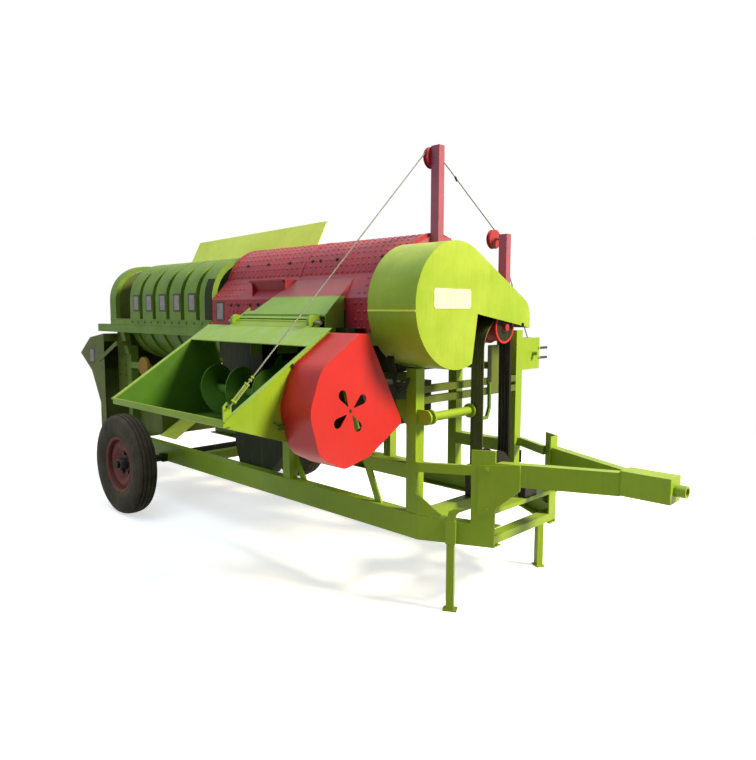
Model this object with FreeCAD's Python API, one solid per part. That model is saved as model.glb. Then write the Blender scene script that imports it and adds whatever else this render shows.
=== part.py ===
"""Multicrop thresher on a two-wheeled trailer chassis.

Directions: +X forward to the hitch, +Y to the machine's left, +Z up.  The feeding side
is the right side, at negative Y.  The sizes below are in the machine's working frame:
axle at X = 0, middle of the chassis at Y = 0, ground at Z = 0, in millimetres.  The last
step moves the whole machine so that its origin is the middle of its box, on the ground.
"""
import FreeCAD, Part
import math
import os

V = FreeCAD.Vector

# ---- chassis ---------------------------------------------------------------------------
RAIL_H = 128.0            # lower rails are channels of this height
RAIL_W = 62.0             # width of their flanges
RAIL_T = 8.0              # thickness of web and flanges
RAIL_Z = 338.0            # underside of the lower rails
FRAME_HALF = 481.0        # middle of the chassis to the rails' outer faces
RAIL_REAR_X = -820.0      # rear ends of the lower rails
BODY_FRONT_X = 2400.0     # front wall of the threshing body
TRAY_X1 = BODY_FRONT_X - 111.0   # front end of the feed tray
TRAY_X0 = TRAY_X1 - 1050.0
RAIL_BEND_X = BODY_FRONT_X + 167.0  # where the rails turn inwards
FRONT_X = RAIL_BEND_X + 335.0  # front ends of the rails
FRONT_HALF = 296.0        # middle to the outer faces at the front ends
FRONT_DROP = 30.0         # the rails' top falls by this to their front ends
POST = 64.0               # square tube of the posts
INNER_HALF = FRAME_HALF - POST
AXLE_CROSS_X = 445.0      # cross-member in front of the axle
CROSS_DEPTH = 64.0
POST_REAR_X = -560.0      # centres of the posts, from the rear
POST_CAGE_X = 400.0
POST_MID_X = TRAY_X0 + 258.0
POST_FEED_X = TRAY_X1 - 214.0
POST_A_X = BODY_FRONT_X + 117.0
POST_A_TOP = 1205.0       # top of the right tall post
POST_C_TOP = 1380.0       # top of the left tall post
REAR_POST_TOP = 1200.0    # top of the right rear post, under its bracket
FLOOR_Z = 1180.0          # underside of the threshing body
FLOOR_BEAM_H = 40.0
MID_RAIL_Z = 645.0
MID_RAIL_H = 73.0
FRONT_MID_Z = 688.0
FRONT_MID_H = 48.0
FRONT_MID_T = 30.0
FRONT_POST_X0 = FRONT_X - 102.0  # rear edge of the front posts' plates
FRONT_POST_TOP = 816.0
DECK_Z = 501.0            # plate under the input bearing
DECK_T = 21.0
CROSSBAR_Z = 348.0        # low crossbar between the front ends
CROSSBAR_H = 42.0
TIE_ZS = (1024.0, 1080.0) # undersides of the two ties between the tall posts
TIE_H = 35.0
TIE_D = 40.0
BRACE_W = 46.0            # flat bars that lean against the body
BRACE_T = 12.0
BRACE_MID_FOOT_X = POST_MID_X + 76.0
BRACE_MID_LEAN = 0.574    # run backwards per unit of rise
BRACE_FEED_FOOT_X = TRAY_X1 - 49.0
BRACE_FEED_LEAN = 0.456
GUSSET_T = 8.0
GUSSET_REACH = 118.0      # foot plate in front of the tall posts
GUSSET_RISE = 109.0
GUSSET_NOSE = 12.0
GUSSET_CORNER = 27.0
# corners of the plate behind the right tall post, from its rear face and the body's floor
REAR_GUSSET = [(-101.0, -148.0), (0.0, -140.0), (0.0, -294.0), (-79.0, -214.0)]
# corners of the drawbar's root plates, from the rails' front ends and the arms' top
ROOT_PLATE = [(-70.0, -266.0), (3.0, -256.0), (11.0, -223.0), (112.0, -127.0), (112.0, 0.0), (-70.0, -14.0)]

# ---- hitch -----------------------------------------------------------------------------
ARM_H = 110.0
ARM_W = 60.0
ARM_TOP = 756.0
HITCH_X0 = FRONT_X + 518.0
HITCH_X1 = HITCH_X0 + 230.0
HITCH_W = 112.0
HITCH_H = 116.0
HITCH_Z = 708.0           # height of the hitch's axis
ARM_APART = 0.5
STUB_R = 28.0
STUB_BORE_R = 19.0
STUB_LEN = 52.0
STUB_DEPTH = 60.0         # depth of the bore inside the hitch box

# ---- wheels ----------------------------------------------------------------------------
TYRE_R = 368.0
TYRE_W = 162.0
RIM_R = 205.0
RIM_HALF = 58.0
TYRE_BULGE_R = 290.0      # radius where the side walls are widest
TREAD_HALF = 66.0
SHOULDER_R = 350.0
RIM_T = 9.0
DISC_T = 9.0
HUB_R = 46.0
HUB_HALF = 66.0
WHEEL_Y = FRAME_HALF + 319.0
AXLE_SQ = 60.0
HUB_BORE_R = 22.0
SPINDLE_R = 21.95
STUB_AXLE_R = 27.0
AXLE_STEP = 40.0          # square beam beyond the rails
HUB_PLAY = 2.0
CAP_T = 8.0
WHEEL_BOLTS = 5
WHEEL_BOLT_R = 9.0
WHEEL_BOLT_RING = 74.0

# ---- stands ----------------------------------------------------------------------------
STAND_X = FRONT_X - 171.0
STAND_W = 38.0            # square tube of the legs
STAND_TOP = 478.0
FOOT_W = 70.0
FOOT_D = 50.0
FOOT_T = 8.0
SLEEVE_T = 5.0
SLEEVE_GAP = 0.3
SLEEVE_Z0 = 345.0
SLEEVE_Z1 = 462.0
# corners of the hooked plate, from the leg's middle and top
HOOK_PLATE = [(-19.0, -8.0), (-10.0, 31.0), (20.0, 46.0), (66.0, 53.0), (33.0, 21.0), (19.0, -8.0)]

# ---- thresher body ---------------------------------------------------------------------
DOME_Y = -150.0
DOME_R = 300.0
DOME_Z = 1605.0
BODY_NEAR_Y = -FRAME_HALF - 79.0
BODY_FAR_Y = FRAME_HALF - 221.0
BODY_REAR_X = -700.0
CAGE_END_X = 830.0
SHOULDER_Z = 1560.0
FLANGE_Z = 1692.0
SHEET = 4.0
BEAM_W = 50.0
BEAM_H = 62.0
BEAM_TOP_Z = 1378.0
BEAM_TAIL = 245.0         # side beams run on behind the cage
DRUM_Y = -220.0
DRUM_Z = 1505.0
MOUTH_X0 = TRAY_X0 + 321.0  # feed mouth in the right wall
MOUTH_X1 = TRAY_X1 - 169.0
MOUTH_Z0 = 1190.0
MOUTH_Z1 = 1500.0
MOUTH_DEPTH = 240.0
LEDGE_X0 = TRAY_X0 + 23.0  # folded ledge on the right wall, beside the hood
LEDGE_INSET = 15.0
LEDGE_Z = 1668.0

# ---- straw cage ------------------------------------------------------------------------
CAGE_HALF = 410.0
CAGE_TOP_Z = 1852.0
CAGE_SHOULDER_R = 285.0
SLAT_T = 34.0
SLAT_W = 155.0
SLAT_PITCH = 204.0
SLAT_X0 = -345.0
SLAT_COUNT = 5
END_ARCH_W = 105.0
CAGE_FOOT_H = 45.0
WALL_T = 6.0
CONCAVE_R = 320.0
CONCAVE_Z = 1430.0
CONCAVE_BAR = 90.0
CONCAVE_BAR_H = 14.0
REAR_BOSS_R = 55.0
REAR_BOSS_L = 46.0

# ---- straw hood and lower body ---------------------------------------------------------
REAR_HOOD_X = -1225.0
HOOD_FRONT_X = -760.0
HOOD_NEAR_Y = BODY_NEAR_Y - 40.0
HOOD_FAR_Y = BODY_FAR_Y + 40.0
HOOD_Z = 490.0
HOOD_TOP_Z = 1300.0
PANEL_Z0 = 780.0
PANEL_HOLE_R = 9.0
PANEL_HOLES = 5
PANEL_HOLE_PITCH = 88.0
STAY_W = 36.0
STAY_FOOT = (-845.0, 1100.0)
STAY_TOP_Z = 1244.0
# the hood's back from its foot up, measured from its rearmost edge and its underside
HOOD_BACK = [(367.0, 0.0), (370.0, 232.0), (215.0, 493.0), (0.0, 633.0), (201.0, 772.0)]
CHUTE_X0 = -100.0
CHUTE_X1 = 1405.0
CHUTE_Y = -165.0
CHUTE_GAP = 17.0          # deflector's lower edge above the cage
CHUTE_TOP_Z = 2068.0
CHUTE_FALL = 41.0
CHUTE_LEAN = 110.0
CHUTE_RIBS = 5
CHUTE_RIB_T = 6.0
CHUTE_RIB_SHARE = 0.8     # the ribs end at this share of the sheet's height
CHUTE_RIB_FOOT = 60.0
FAN_X0 = 858.0
FAN_X1 = 1380.0
FAN_Z0 = 440.0
FAN_D = 80.0
FAN_CUT_W = 56.0          # lower corners of the casings are cut back
FAN_CUT_H = 140.0
SHAKER_X0 = 560.0
SHAKER_X1 = 1900.0
SHAKER_Z0 = 780.0
SHAKER_TOP = 1040.0
PAN_X0 = -560.0
PAN_X1 = -160.0
PAN_Z0 = 508.0
SPOUT_W = 240.0
SPOUT_LIP_Y = -FRAME_HALF + 41.0
SPOUT_RISE = 0.62
SHAKER_PULLEY_X = -275.0
SHAKER_PULLEY_Z = 1050.0
SHAKER_PULLEY_R = 75.0
SHAKER_PULLEY_W = 24.0
SHAKER_SHAFT_R = 14.0
SHAKER_ARM_H = 50.0
SHAKER_ARM_T = 12.0

# ---- feeder ----------------------------------------------------------------------------
HINGE_Y = BODY_NEAR_Y - 225.0
HINGE_Z = 1432.0
HINGE_ROD_R = 9.0
ROD_OVERHANG = 60.0
LUG_R = 38.0
LUG_T = 12.0
LUG_GAP = 1.0
LUG_X0 = TRAY_X0 + 195.0
LUG_X1 = TRAY_X1 - 179.0
HOOD_X_MID = TRAY_X0 + 597.0
HOOD_HALF_TOP = 246.0
HOOD_HALF_LOW = 326.0
HOOD_CLEAR = 8.0
BAR_D = 24.0
BAR_H = 10.0
TAB = 6.0
HOOD_CHEEK_Z = 1240.0
SILL_Y = BODY_NEAR_Y - 140.0
SILL_Z = 1085.0
LIP_Y = HINGE_Y - 649.0
LIP_Z = 1022.0
LIP_FOLD = 26.0
TRAY_SHEET = 4.0
TRAY_DROP = 22.0
TRAY_BACK_Y = HINGE_Y - 44.0
AUGER_Y = HINGE_Y - 100.0
TRAY_KNEE_Y = AUGER_Y - 197.0
TRAY_FLANGE = 26.0
TOP_PLATE = 130.0
AUGER_Z = 1044.0
AUGER_R = 142.0
TROUGH_R = 158.0
AUGER_SHAFT_R = 30.0
AUGER_PITCH = 240.0
AUGER_STEPS = 20          # facets in each turn of the flight
FLIGHT_T = 6.0
FLIGHT_START = 91.0
FLIGHT_END = 24.0
AUGER_STUB = 40.0
AUGER_FIT = 0.3
RED_GUARD_W = 216.0
RED_GUARD_OUTLINE = [(58.0, 344.0), (110.0, 342.0), (352.0, -104.0), (122.0, -242.0), (-41.0, -281.0),
                     (-190.0, -205.0), (-248.0, 0.0), (-180.0, 190.0)]
RED_GUARD_ROUND = [40.0, 30.0, 24.0, 60.0, 80.0, 120.0, 140.0, 150.0]
PETALS = 4
PETAL_TIP = 32.0          # from the middle of the ring to a petal's point
PETAL_MID = 92.0
PETAL_R = 24.0
PETAL_Y = -4.0            # middle of the ring from the auger's axis
PETAL_Z = -12.0
PETAL_TURN = 32.0
PETAL_HUB_R = 10.0
EYE_Y = LIP_Y + 20.0
EYE_W = 42.0
EYE_Z = 1084.0
EYE_T = 8.0
EYE_R = 8.0

# ---- drive -----------------------------------------------------------------------------
GUARD_X0 = BODY_FRONT_X
GUARD_W = 310.0
GUARD_Y = -360.0
GUARD_Z = 1518.0
GUARD_R = 314.0
GUARD_TAIL_Y = 187.0
GUARD_TAIL_Z = 1464.0
GUARD_TAIL_R = 105.0
GUARD_SHEET = 3.0
GUARD_NOTCH_Y = 222.0
GUARD_NOTCH_R = 15.0
BELT_MOUTH_Y0 = -197.0
BELT_MOUTH_Y1 = 115.0
BELT_MOUTH_Z = 1429.0
MOUTH_STEP = 42.0
MOUTH_RISE = 49.0
MOUTH_DROP = 28.0
BELT_X = BODY_FRONT_X + 232.0     # middle plane of the long belts
BELT2_X = BODY_FRONT_X + 116.0    # middle plane of the short belts
PULLEY_W = 96.0
FLANGE_H = 12.0
FLANGE_T = 6.0
BELT_T = 12.0
BELT_GAP = 0.4
BELT_PLAY = 2.0
RUN_FIT = 0.05
DRUM_PULLEY_R = 165.0
DRUM_SHAFT_R = 30.0
PTO_Y = 49.0
PTO_Z = 600.0
PTO_PULLEY_R = 134.0
JACK_Y = 88.0
JACK_Z = 1405.0
JACK_R = 88.0
JACK_SHAFT_R = 18.0
INPUT_SHAFT_R = 20.0
SPLINE_R = 17.5
SPLINE_LEN = 80.0
INPUT_END_X = FRONT_X + 108.0
BEARING_T = 34.0
BEARING_W = 110.0
BEARING_L = 44.0
SHAFT_TAIL = 20.0
BEARING_TOP = 38.0        # bearing blocks above their shafts
SLACK_BEND = 150.0
ROLLER_X = BODY_FRONT_X + 200.0
ROLLER_Z = 964.0
ROLLER_R = 23.0
ROLLER_FLANGE_R = 38.0
ROLLER_FLANGE_T = 12.0
ROLLER_Y1 = -98.0
PANEL_Y = 125.0           # dark panel behind the belts
PANEL_W = 117.0
PANEL_LOW_Z = 1028.0
PANEL_TOP_Z = 1303.0

# ---- masts and winch -------------------------------------------------------------------
MAST_X = 54.0
MAST_Y = 44.0
NEAR_MAST_Y = -205.0
NEAR_MAST_Z0 = 1822.0
NEAR_MAST_TOP = 2352.0
# corners of the plate at its foot, from the mast's near face and its foot
MAST_PLATE = [(-123.0, 14.0), (168.0, 28.0), (167.0, 68.0), (-3.0, 65.0)]
FAR_MAST_LAP = 8.0        # the left mast is welded to its post's inner face along this strip
FAR_MAST_Z0 = FLOOR_Z
FAR_MAST_TOP = 1940.0
SHEAVE_R = 56.0
SHEAVE_T = 26.0
SHEAVE_GROOVE = 10.0
SHEAVE_PIN_R = 9.0
SHEAVE_DROP = 24.0
PIN_HEAD_R = 16.0
PIN_HEAD_T = 12.0
RIGHT_WRAP = (136.0, 58.6) # where the rope meets and leaves each sheave, in degrees
LEFT_WRAP = (58.6, 11.0)
ROPE_BEND = 12.0
ROPE_R = 4.0
WINCH_W = 190.0
WINCH_Y = FRAME_HALF + 120.0
WINCH_H = 190.0
WINCH_Z0 = 1142.0
WINCH_DRUM_R = 30.0
WINCH_SHAFT_R = 12.0
WINCH_SHAFT_OUT = 34.0
STUD_R = 8.0
STUD_L = 88.0

HOOD_TOP_X0 = HOOD_X_MID - HOOD_HALF_TOP
ORIGIN_X = (REAR_HOOD_X + HITCH_X1 + STUB_LEN) / 2.0
ORIGIN_Y = (LIP_Y + WHEEL_Y + TYRE_W / 2.0) / 2.0
RAIL_SLOPE = (FRAME_HALF - FRONT_HALF) / (FRONT_X - RAIL_BEND_X)
STAND_OUT = STAND_W / 2.0 + SLEEVE_GAP + SLEEVE_T
STAND_Y = FRAME_HALF - RAIL_SLOPE * (STAND_X - RAIL_BEND_X) + STAND_OUT * math.hypot(1.0, RAIL_SLOPE)

NODES = {}


def add(name, *shapes):
    """Keep the shapes as one node."""
    NODES.setdefault(name, []).extend(shapes)


def box(x0, x1, y0, y1, z0, z1):
    """A block between two corners."""
    return Part.makeBox(x1 - x0, y1 - y0, z1 - z0, V(x0, y0, z0))


def cyl_x(x0, x1, y, z, r):
    """A cylinder along X."""
    return Part.makeCylinder(r, x1 - x0, V(x0, y, z), V(1, 0, 0))


def cyl_y(y0, y1, x, z, r):
    """A cylinder along Y."""
    return Part.makeCylinder(r, y1 - y0, V(x, y0, z), V(0, 1, 0))


def extruded(points, along):
    """A prism from a closed outline of points."""
    return Part.Face(Part.makePolygon(points + points[:1])).extrude(along)


def plate_x(points, x0, x1):
    """A plate whose outline is a list of (y, z) points, from x0 to x1."""
    return extruded([V(x0, y, z) for y, z in points], V(x1 - x0, 0, 0))


def plate_y(points, y0, y1):
    """A plate whose outline is a list of (x, z) points, from y0 to y1."""
    return extruded([V(x, y0, z) for x, z in points], V(0, y1 - y0, 0))


def plate_z(points, z0, z1):
    """A plate whose outline is a list of (x, y) points, from z0 to z1."""
    return extruded([V(x, y, z0) for x, y in points], V(0, 0, z1 - z0))


def both(shape):
    """The shape and its mirror image on the other side of the machine."""
    return [shape, shape.mirror(V(0, 0, 0), V(0, 1, 0))]


def arch_wire(x, y_mid, half, z_base, z_top, r):
    """A closed arch outline: straight sides, round shoulders and a flat crown."""
    y0, y1 = y_mid - half, y_mid + half
    c = r * (1.0 - math.sqrt(0.5))
    edges = [
        Part.LineSegment(V(x, y0, z_base), V(x, y0, z_top - r)).toShape(),
        Part.Arc(V(x, y0, z_top - r), V(x, y0 + c, z_top - c), V(x, y0 + r, z_top)).toShape(),
        Part.LineSegment(V(x, y0 + r, z_top), V(x, y1 - r, z_top)).toShape(),
        Part.Arc(V(x, y1 - r, z_top), V(x, y1 - c, z_top - c), V(x, y1, z_top - r)).toShape(),
        Part.LineSegment(V(x, y1, z_top - r), V(x, y1, z_base)).toShape(),
        Part.LineSegment(V(x, y1, z_base), V(x, y0, z_base)).toShape(),
    ]
    return Part.Wire(edges)


def arch_band(x0, x1, half, z_base, z_top, r, thick):
    """A band bent over the thresher, open at the bottom."""
    outer = Part.Face(arch_wire(x0, DOME_Y, half, z_base, z_top, r)).extrude(V(x1 - x0, 0, 0))
    inner = Part.Face(arch_wire(x0, DOME_Y, half - thick, z_base, z_top - thick, r - thick))
    return outer.cut(inner.extrude(V(x1 - x0, 0, 0)))


def hull_wire(x, rounds):
    """The outline round two circles, given as (y, z, r), joined by their outer tangents."""
    (ya, za, ra), (yb, zb, rb) = rounds
    base = math.atan2(zb - za, yb - ya)
    swing = math.acos((ra - rb) / math.hypot(yb - ya, zb - za))

    def spot(y, z, r, a):
        return V(x, y + r * math.cos(a), z + r * math.sin(a))

    a1, a2 = base + swing, base - swing
    return Part.Wire([
        Part.LineSegment(spot(ya, za, ra, a1), spot(yb, zb, rb, a1)).toShape(),
        Part.Arc(spot(yb, zb, rb, a1), spot(yb, zb, rb, base), spot(yb, zb, rb, a2)).toShape(),
        Part.LineSegment(spot(yb, zb, rb, a2), spot(ya, za, ra, a2)).toShape(),
        Part.Arc(spot(ya, za, ra, a2), spot(ya, za, ra, base + math.pi), spot(ya, za, ra, a1)).toShape(),
    ])


def rounded(points, x, radii):
    """A closed outline of (y, z) points with rounded corners."""
    edges, marks = [], []
    for i, r in enumerate(radii):
        p = V(x, *points[i])
        a = (V(x, *points[i - 1]) - p).normalize()
        b = (V(x, *points[(i + 1) % len(points)]) - p).normalize()
        half = a.getAngle(b) / 2.0
        cut = r / math.tan(half)
        mid = (a + b).normalize()
        marks.append((p + a * cut, p + mid * (r / math.sin(half) - r), p + b * cut))
    for i, (start, middle, end) in enumerate(marks):
        edges.append(Part.Arc(start, middle, end).toShape())
        edges.append(Part.LineSegment(end, marks[(i + 1) % len(marks)][0]).toShape())
    return Part.Wire(edges)


def tube_path(points, r, bend):
    """A round bar along straight runs with tangent arcs at the corners."""
    edges, last = [], points[0]
    for here, after in zip(points[1:-1], points[2:]):
        a = (last - here).normalize()
        b = (after - here).normalize()
        turn = math.pi - a.getAngle(b)
        cut = bend * math.tan(turn / 2.0)
        p, q = here + a * cut, here + b * cut
        inward = (a + b).normalize()
        middle = here + inward * (bend / math.cos(turn / 2.0) - bend)
        edges.append(Part.LineSegment(last, p).toShape())
        edges.append(Part.Arc(p, middle, q).toShape())
        last = q
    edges.append(Part.LineSegment(last, points[-1]).toShape())
    start = Part.Wire([Part.makeCircle(r, points[0], points[1] - points[0])])
    return Part.Wire(edges).makePipeShell([start], True, True)


def hollow_y(points, y0, y1, wall, cuts):
    """A sheet box with an (x, z) outline, opened by the cutting blocks."""
    outer = plate_y(points, y0, y1)
    wire = Part.makePolygon([V(x, y0 + wall, z) for x, z in points + points[:1]])
    inner = Part.Face(wire.makeOffset2D(-wall)).extrude(V(0, y1 - y0 - 2 * wall, 0))
    return outer.cut(inner).cut(cuts)


def outer(x):
    """Half-width of the frame's outer line at a station along it, on into the drawbar."""
    if x <= RAIL_BEND_X:
        return FRAME_HALF
    if x <= FRONT_X:
        return FRAME_HALF - RAIL_SLOPE * (x - RAIL_BEND_X)
    return FRONT_HALF - (FRONT_HALF - HITCH_W / 2.0) * (x - FRONT_X) / (HITCH_X0 - FRONT_X)


def strip(stations, d0, d1, z0, z1):
    """A bar along the right outer line, between two depths inside it."""
    near = [(x, d0 - outer(x)) for x in stations]
    far = [(x, d1 - outer(x)) for x in reversed(stations)]
    return plate_z(near + far, z0, z1)


# ---- chassis ---------------------------------------------------------------------------
def lower_rail():
    """Right lower rail: a channel that turns inwards and tapers towards the front."""
    z1 = RAIL_Z + RAIL_H

    def side(t):
        points = [(RAIL_REAR_X - t, RAIL_Z + t), (RAIL_BEND_X, RAIL_Z + t), (FRONT_X + t, RAIL_Z - RAIL_T + t),
                  (FRONT_X + t, z1 - FRONT_DROP - t), (RAIL_BEND_X, z1 - t), (RAIL_REAR_X - t, z1 - t)]
        return plate_y(points, -FRAME_HALF, 0.0)

    bar = strip((RAIL_REAR_X, RAIL_BEND_X, FRONT_X), 0.0, RAIL_W, RAIL_Z - RAIL_T, z1).common(side(0.0))
    room = strip((RAIL_REAR_X - RAIL_T, RAIL_BEND_X, FRONT_X, FRONT_X + RAIL_T), RAIL_T, RAIL_W + RAIL_T,
                 RAIL_Z - RAIL_T, z1).common(side(RAIL_T))
    s = AXLE_SQ / 2.0
    return bar.cut(room).cut(box(-s, s, -FRAME_HALF, 0.0, TYRE_R - s, TYRE_R + s))


def brace(foot_x, lean, y0, z1):
    """Flat bar that stands on the right rail and leans backwards."""
    z0 = RAIL_Z + RAIL_H
    run = lean * (z1 - z0)
    points = [(foot_x, z0), (foot_x + BRACE_W, z0), (foot_x + BRACE_W - run, z1), (foot_x - run, z1)]
    return plate_y(points, y0, y0 + BRACE_T)


def chassis():
    """Lower rails, cross-members, posts, braces and middle rails."""
    rail_top = RAIL_Z + RAIL_H
    add("lower_rails", *both(lower_rail()))

    web = FRAME_HALF - RAIL_T
    z1 = rail_top - RAIL_T
    h = POST / 2.0
    for x in (RAIL_REAR_X + h, AXLE_CROSS_X, POST_A_X):
        add("cross_members", box(x - h, x + h, -web, web, z1 - CROSS_DEPTH, z1))

    near, far = (-FRAME_HALF, -INNER_HALF), (INNER_HALF, FRAME_HALF)
    rail_z = FLOOR_Z - FLOOR_BEAM_H
    bracket_z = BEAM_TOP_Z - BEAM_H
    for x, side, top in ((POST_REAR_X, near, REAR_POST_TOP), (POST_MID_X, near, rail_z), (POST_A_X, near, POST_A_TOP),
                         (POST_REAR_X, far, bracket_z), (POST_CAGE_X, far, bracket_z), (POST_MID_X, far, rail_z),
                         (POST_FEED_X, far, rail_z), (POST_A_X, far, POST_C_TOP)):
        add("posts", box(x - h, x + h, *side, rail_top, top))

    dark = brace(BRACE_MID_FOOT_X, BRACE_MID_LEAN, near[1] - BRACE_T, SHAKER_Z0 + CROSS_DEPTH)
    add("braces", dark.cut(box(POST_MID_X - h, POST_MID_X + h, *near, rail_top, rail_z)))
    add("braces", brace(BRACE_FEED_FOOT_X, BRACE_FEED_LEAN, near[0] + POST / 2.0 - BRACE_T / 2.0, rail_z))

    z0, z1 = MID_RAIL_Z, MID_RAIL_Z + MID_RAIL_H
    x1 = POST_A_X - h
    start = BRACE_FEED_FOOT_X + BRACE_W
    xa, xb = start - BRACE_FEED_LEAN * (z0 - rail_top), start - BRACE_FEED_LEAN * (z1 - rail_top)
    add("mid_rails", plate_y([(xa, z0), (x1, z0), (x1, z1), (xb, z1)], *near))
    add("mid_rails", box(POST_FEED_X + h, x1, *far, z0, z1))
    for z in TIE_ZS:
        add("floor_beams", box(POST_A_X + h - TIE_D, POST_A_X + h, -INNER_HALF, INNER_HALF, z, z + TIE_H))
    for x in (POST_MID_X, POST_FEED_X):
        add("floor_beams", box(x - h, x + h, -INNER_HALF, INNER_HALF, rail_z, FLOOR_Z))
    add("floor_beams", *both(box(POST_MID_X - h, x1, *near, rail_z, FLOOR_Z)))


def front_frame():
    """Front posts, their deck and crossbar, the short middle rails and the gusset plates."""
    rail = lower_rail()
    x0, x1 = POST_A_X + POST / 2.0, FRONT_POST_X0
    add("mid_rails", *both(strip((x0, RAIL_BEND_X, x1), 0.0, FRONT_MID_T, FRONT_MID_Z, FRONT_MID_Z + FRONT_MID_H)))
    add("posts", *both(strip((x1, FRONT_X), 0.0, GUSSET_T, RAIL_Z, FRONT_POST_TOP).cut(rail)))
    web = FRONT_HALF - GUSSET_T
    flange = box(FRONT_X - GUSSET_T, FRONT_X, web - POST, web, CROSSBAR_Z + CROSSBAR_H, FRONT_POST_TOP)
    add("posts", flange.cut(both(rail)[1]))

    xa = FRONT_X - POST
    low = [(xa, RAIL_T - outer(xa)), (FRONT_X, RAIL_T - FRONT_HALF), (FRONT_X, FRONT_HALF - RAIL_T),
           (xa, outer(xa) - RAIL_T)]
    add("cross_members", plate_z(low, CROSSBAR_Z, CROSSBAR_Z + CROSSBAR_H))
    deck = [(x1, GUSSET_T - outer(x1)), (FRONT_X, -web), (FRONT_X, web), (x1, outer(x1) - GUSSET_T)]
    add("cross_members", plate_z(deck, DECK_Z, DECK_Z + DECK_T).cut(flange))

    z0 = RAIL_Z + RAIL_H
    foot = [(x0, z0), (x0 + GUSSET_REACH, z0), (x0 + GUSSET_REACH, z0 + GUSSET_NOSE), (x0 + GUSSET_CORNER,
            z0 + GUSSET_RISE - GUSSET_NOSE), (x0, z0 + GUSSET_RISE)]
    bar = strip((x0, RAIL_BEND_X, x0 + GUSSET_REACH), 0.0, GUSSET_T, z0, z0 + GUSSET_RISE)
    add("gusset_plates", *both(bar.common(plate_y(foot, -FRAME_HALF, 0.0)).cut(rail)))
    rear = [(POST_A_X - POST / 2.0 + x, FLOOR_Z + z) for x, z in REAR_GUSSET]
    y0 = -FRAME_HALF + (POST - GUSSET_T) / 2.0
    add("gusset_plates", plate_y(rear, y0, y0 + GUSSET_T))
    root = [(FRONT_X + x, ARM_TOP + z) for x, z in ROOT_PLATE]
    ends = [x for x, z in root]
    bar = strip((min(ends), FRONT_X, max(ends)), -GUSSET_T, 0.0, DECK_Z - DECK_T, ARM_TOP)
    add("gusset_plates", *both(bar.common(plate_y(root, -FRAME_HALF, 0.0))))


def drawbar():
    """Two arms that meet at the hitch box."""
    half = HITCH_W / 2.0
    arm = plate_z([(FRONT_X, -FRONT_HALF), (HITCH_X0, -half), (HITCH_X0, -ARM_APART),
                   (FRONT_X, ARM_W - FRONT_HALF)], ARM_TOP - ARM_H, ARM_TOP)
    add("drawbar_arms", *both(arm))
    head = box(HITCH_X0, HITCH_X1, -half, half, HITCH_Z - HITCH_H / 2.0, HITCH_Z + HITCH_H / 2.0)
    head = head.fuse(cyl_x(HITCH_X1, HITCH_X1 + STUB_LEN, 0.0, HITCH_Z, STUB_R))
    add("hitch_head", head.cut(cyl_x(HITCH_X1 - STUB_DEPTH, HITCH_X1 + STUB_LEN, 0.0, HITCH_Z, STUB_BORE_R)))


# ---- wheels and stands -----------------------------------------------------------------
def tyre(y):
    """A tyre with bulged side walls and a slightly crowned tread, round the Y axis."""
    r = TYRE_R
    half = TYRE_W / 2.0

    def spot(dy, radius):
        return V(0.0, y + dy, r + radius)

    edges = [
        Part.Arc(spot(-RIM_HALF, RIM_R), spot(-half, TYRE_BULGE_R), spot(-TREAD_HALF, SHOULDER_R)).toShape(),
        Part.Arc(spot(-TREAD_HALF, SHOULDER_R), spot(0.0, r), spot(TREAD_HALF, SHOULDER_R)).toShape(),
        Part.Arc(spot(TREAD_HALF, SHOULDER_R), spot(half, TYRE_BULGE_R), spot(RIM_HALF, RIM_R)).toShape(),
        Part.LineSegment(spot(RIM_HALF, RIM_R), spot(-RIM_HALF, RIM_R)).toShape(),
    ]
    return Part.Face(Part.Wire(edges)).revolve(V(0, 0, r), V(0, 1, 0), 360)


def wheel(y):
    """A pressed wheel: rim ring, disc with bolts and a bored hub."""
    z = TYRE_R
    rim = cyl_y(y - RIM_HALF, y + RIM_HALF, 0, z, RIM_R).cut(cyl_y(y - RIM_HALF, y + RIM_HALF, 0, z, RIM_R - RIM_T))
    disc = cyl_y(y - DISC_T / 2.0, y + DISC_T / 2.0, 0, z, RIM_R - RIM_T / 2.0)
    hub = cyl_y(y - HUB_HALF, y + HUB_HALF, 0, z, HUB_R)
    bolts = []
    for i in range(WHEEL_BOLTS):
        a = 2.0 * math.pi * i / WHEEL_BOLTS
        bolts.append(cyl_y(y - DISC_T * 2.0, y + DISC_T * 2.0, WHEEL_BOLT_RING * math.cos(a),
                           z + WHEEL_BOLT_RING * math.sin(a), WHEEL_BOLT_R))
    return rim.fuse([disc, hub] + bolts).cut(cyl_y(y - HUB_HALF, y + HUB_HALF, 0, z, HUB_BORE_R))


def running_gear():
    """Axle beam with its spindles, and the two wheels."""
    s = AXLE_SQ / 2.0
    reach = FRAME_HALF + AXLE_STEP
    hub_in, hub_out = WHEEL_Y - HUB_HALF - HUB_PLAY, WHEEL_Y + HUB_HALF + HUB_PLAY
    beam = box(-s, s, -reach, reach, TYRE_R - s, TYRE_R + s)
    right = [cyl_y(-hub_in, -reach, 0, TYRE_R, STUB_AXLE_R), cyl_y(-hub_out, -hub_in, 0, TYRE_R, SPINDLE_R),
             cyl_y(-hub_out - CAP_T, -hub_out, 0, TYRE_R, STUB_AXLE_R)]
    for shape in right:
        beam = beam.fuse(both(shape))
    add("axle", beam)
    for side, y in (("right", -WHEEL_Y), ("left", WHEEL_Y)):
        add("tyre_" + side, tyre(y))
        add("wheel_" + side, wheel(y))


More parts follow.
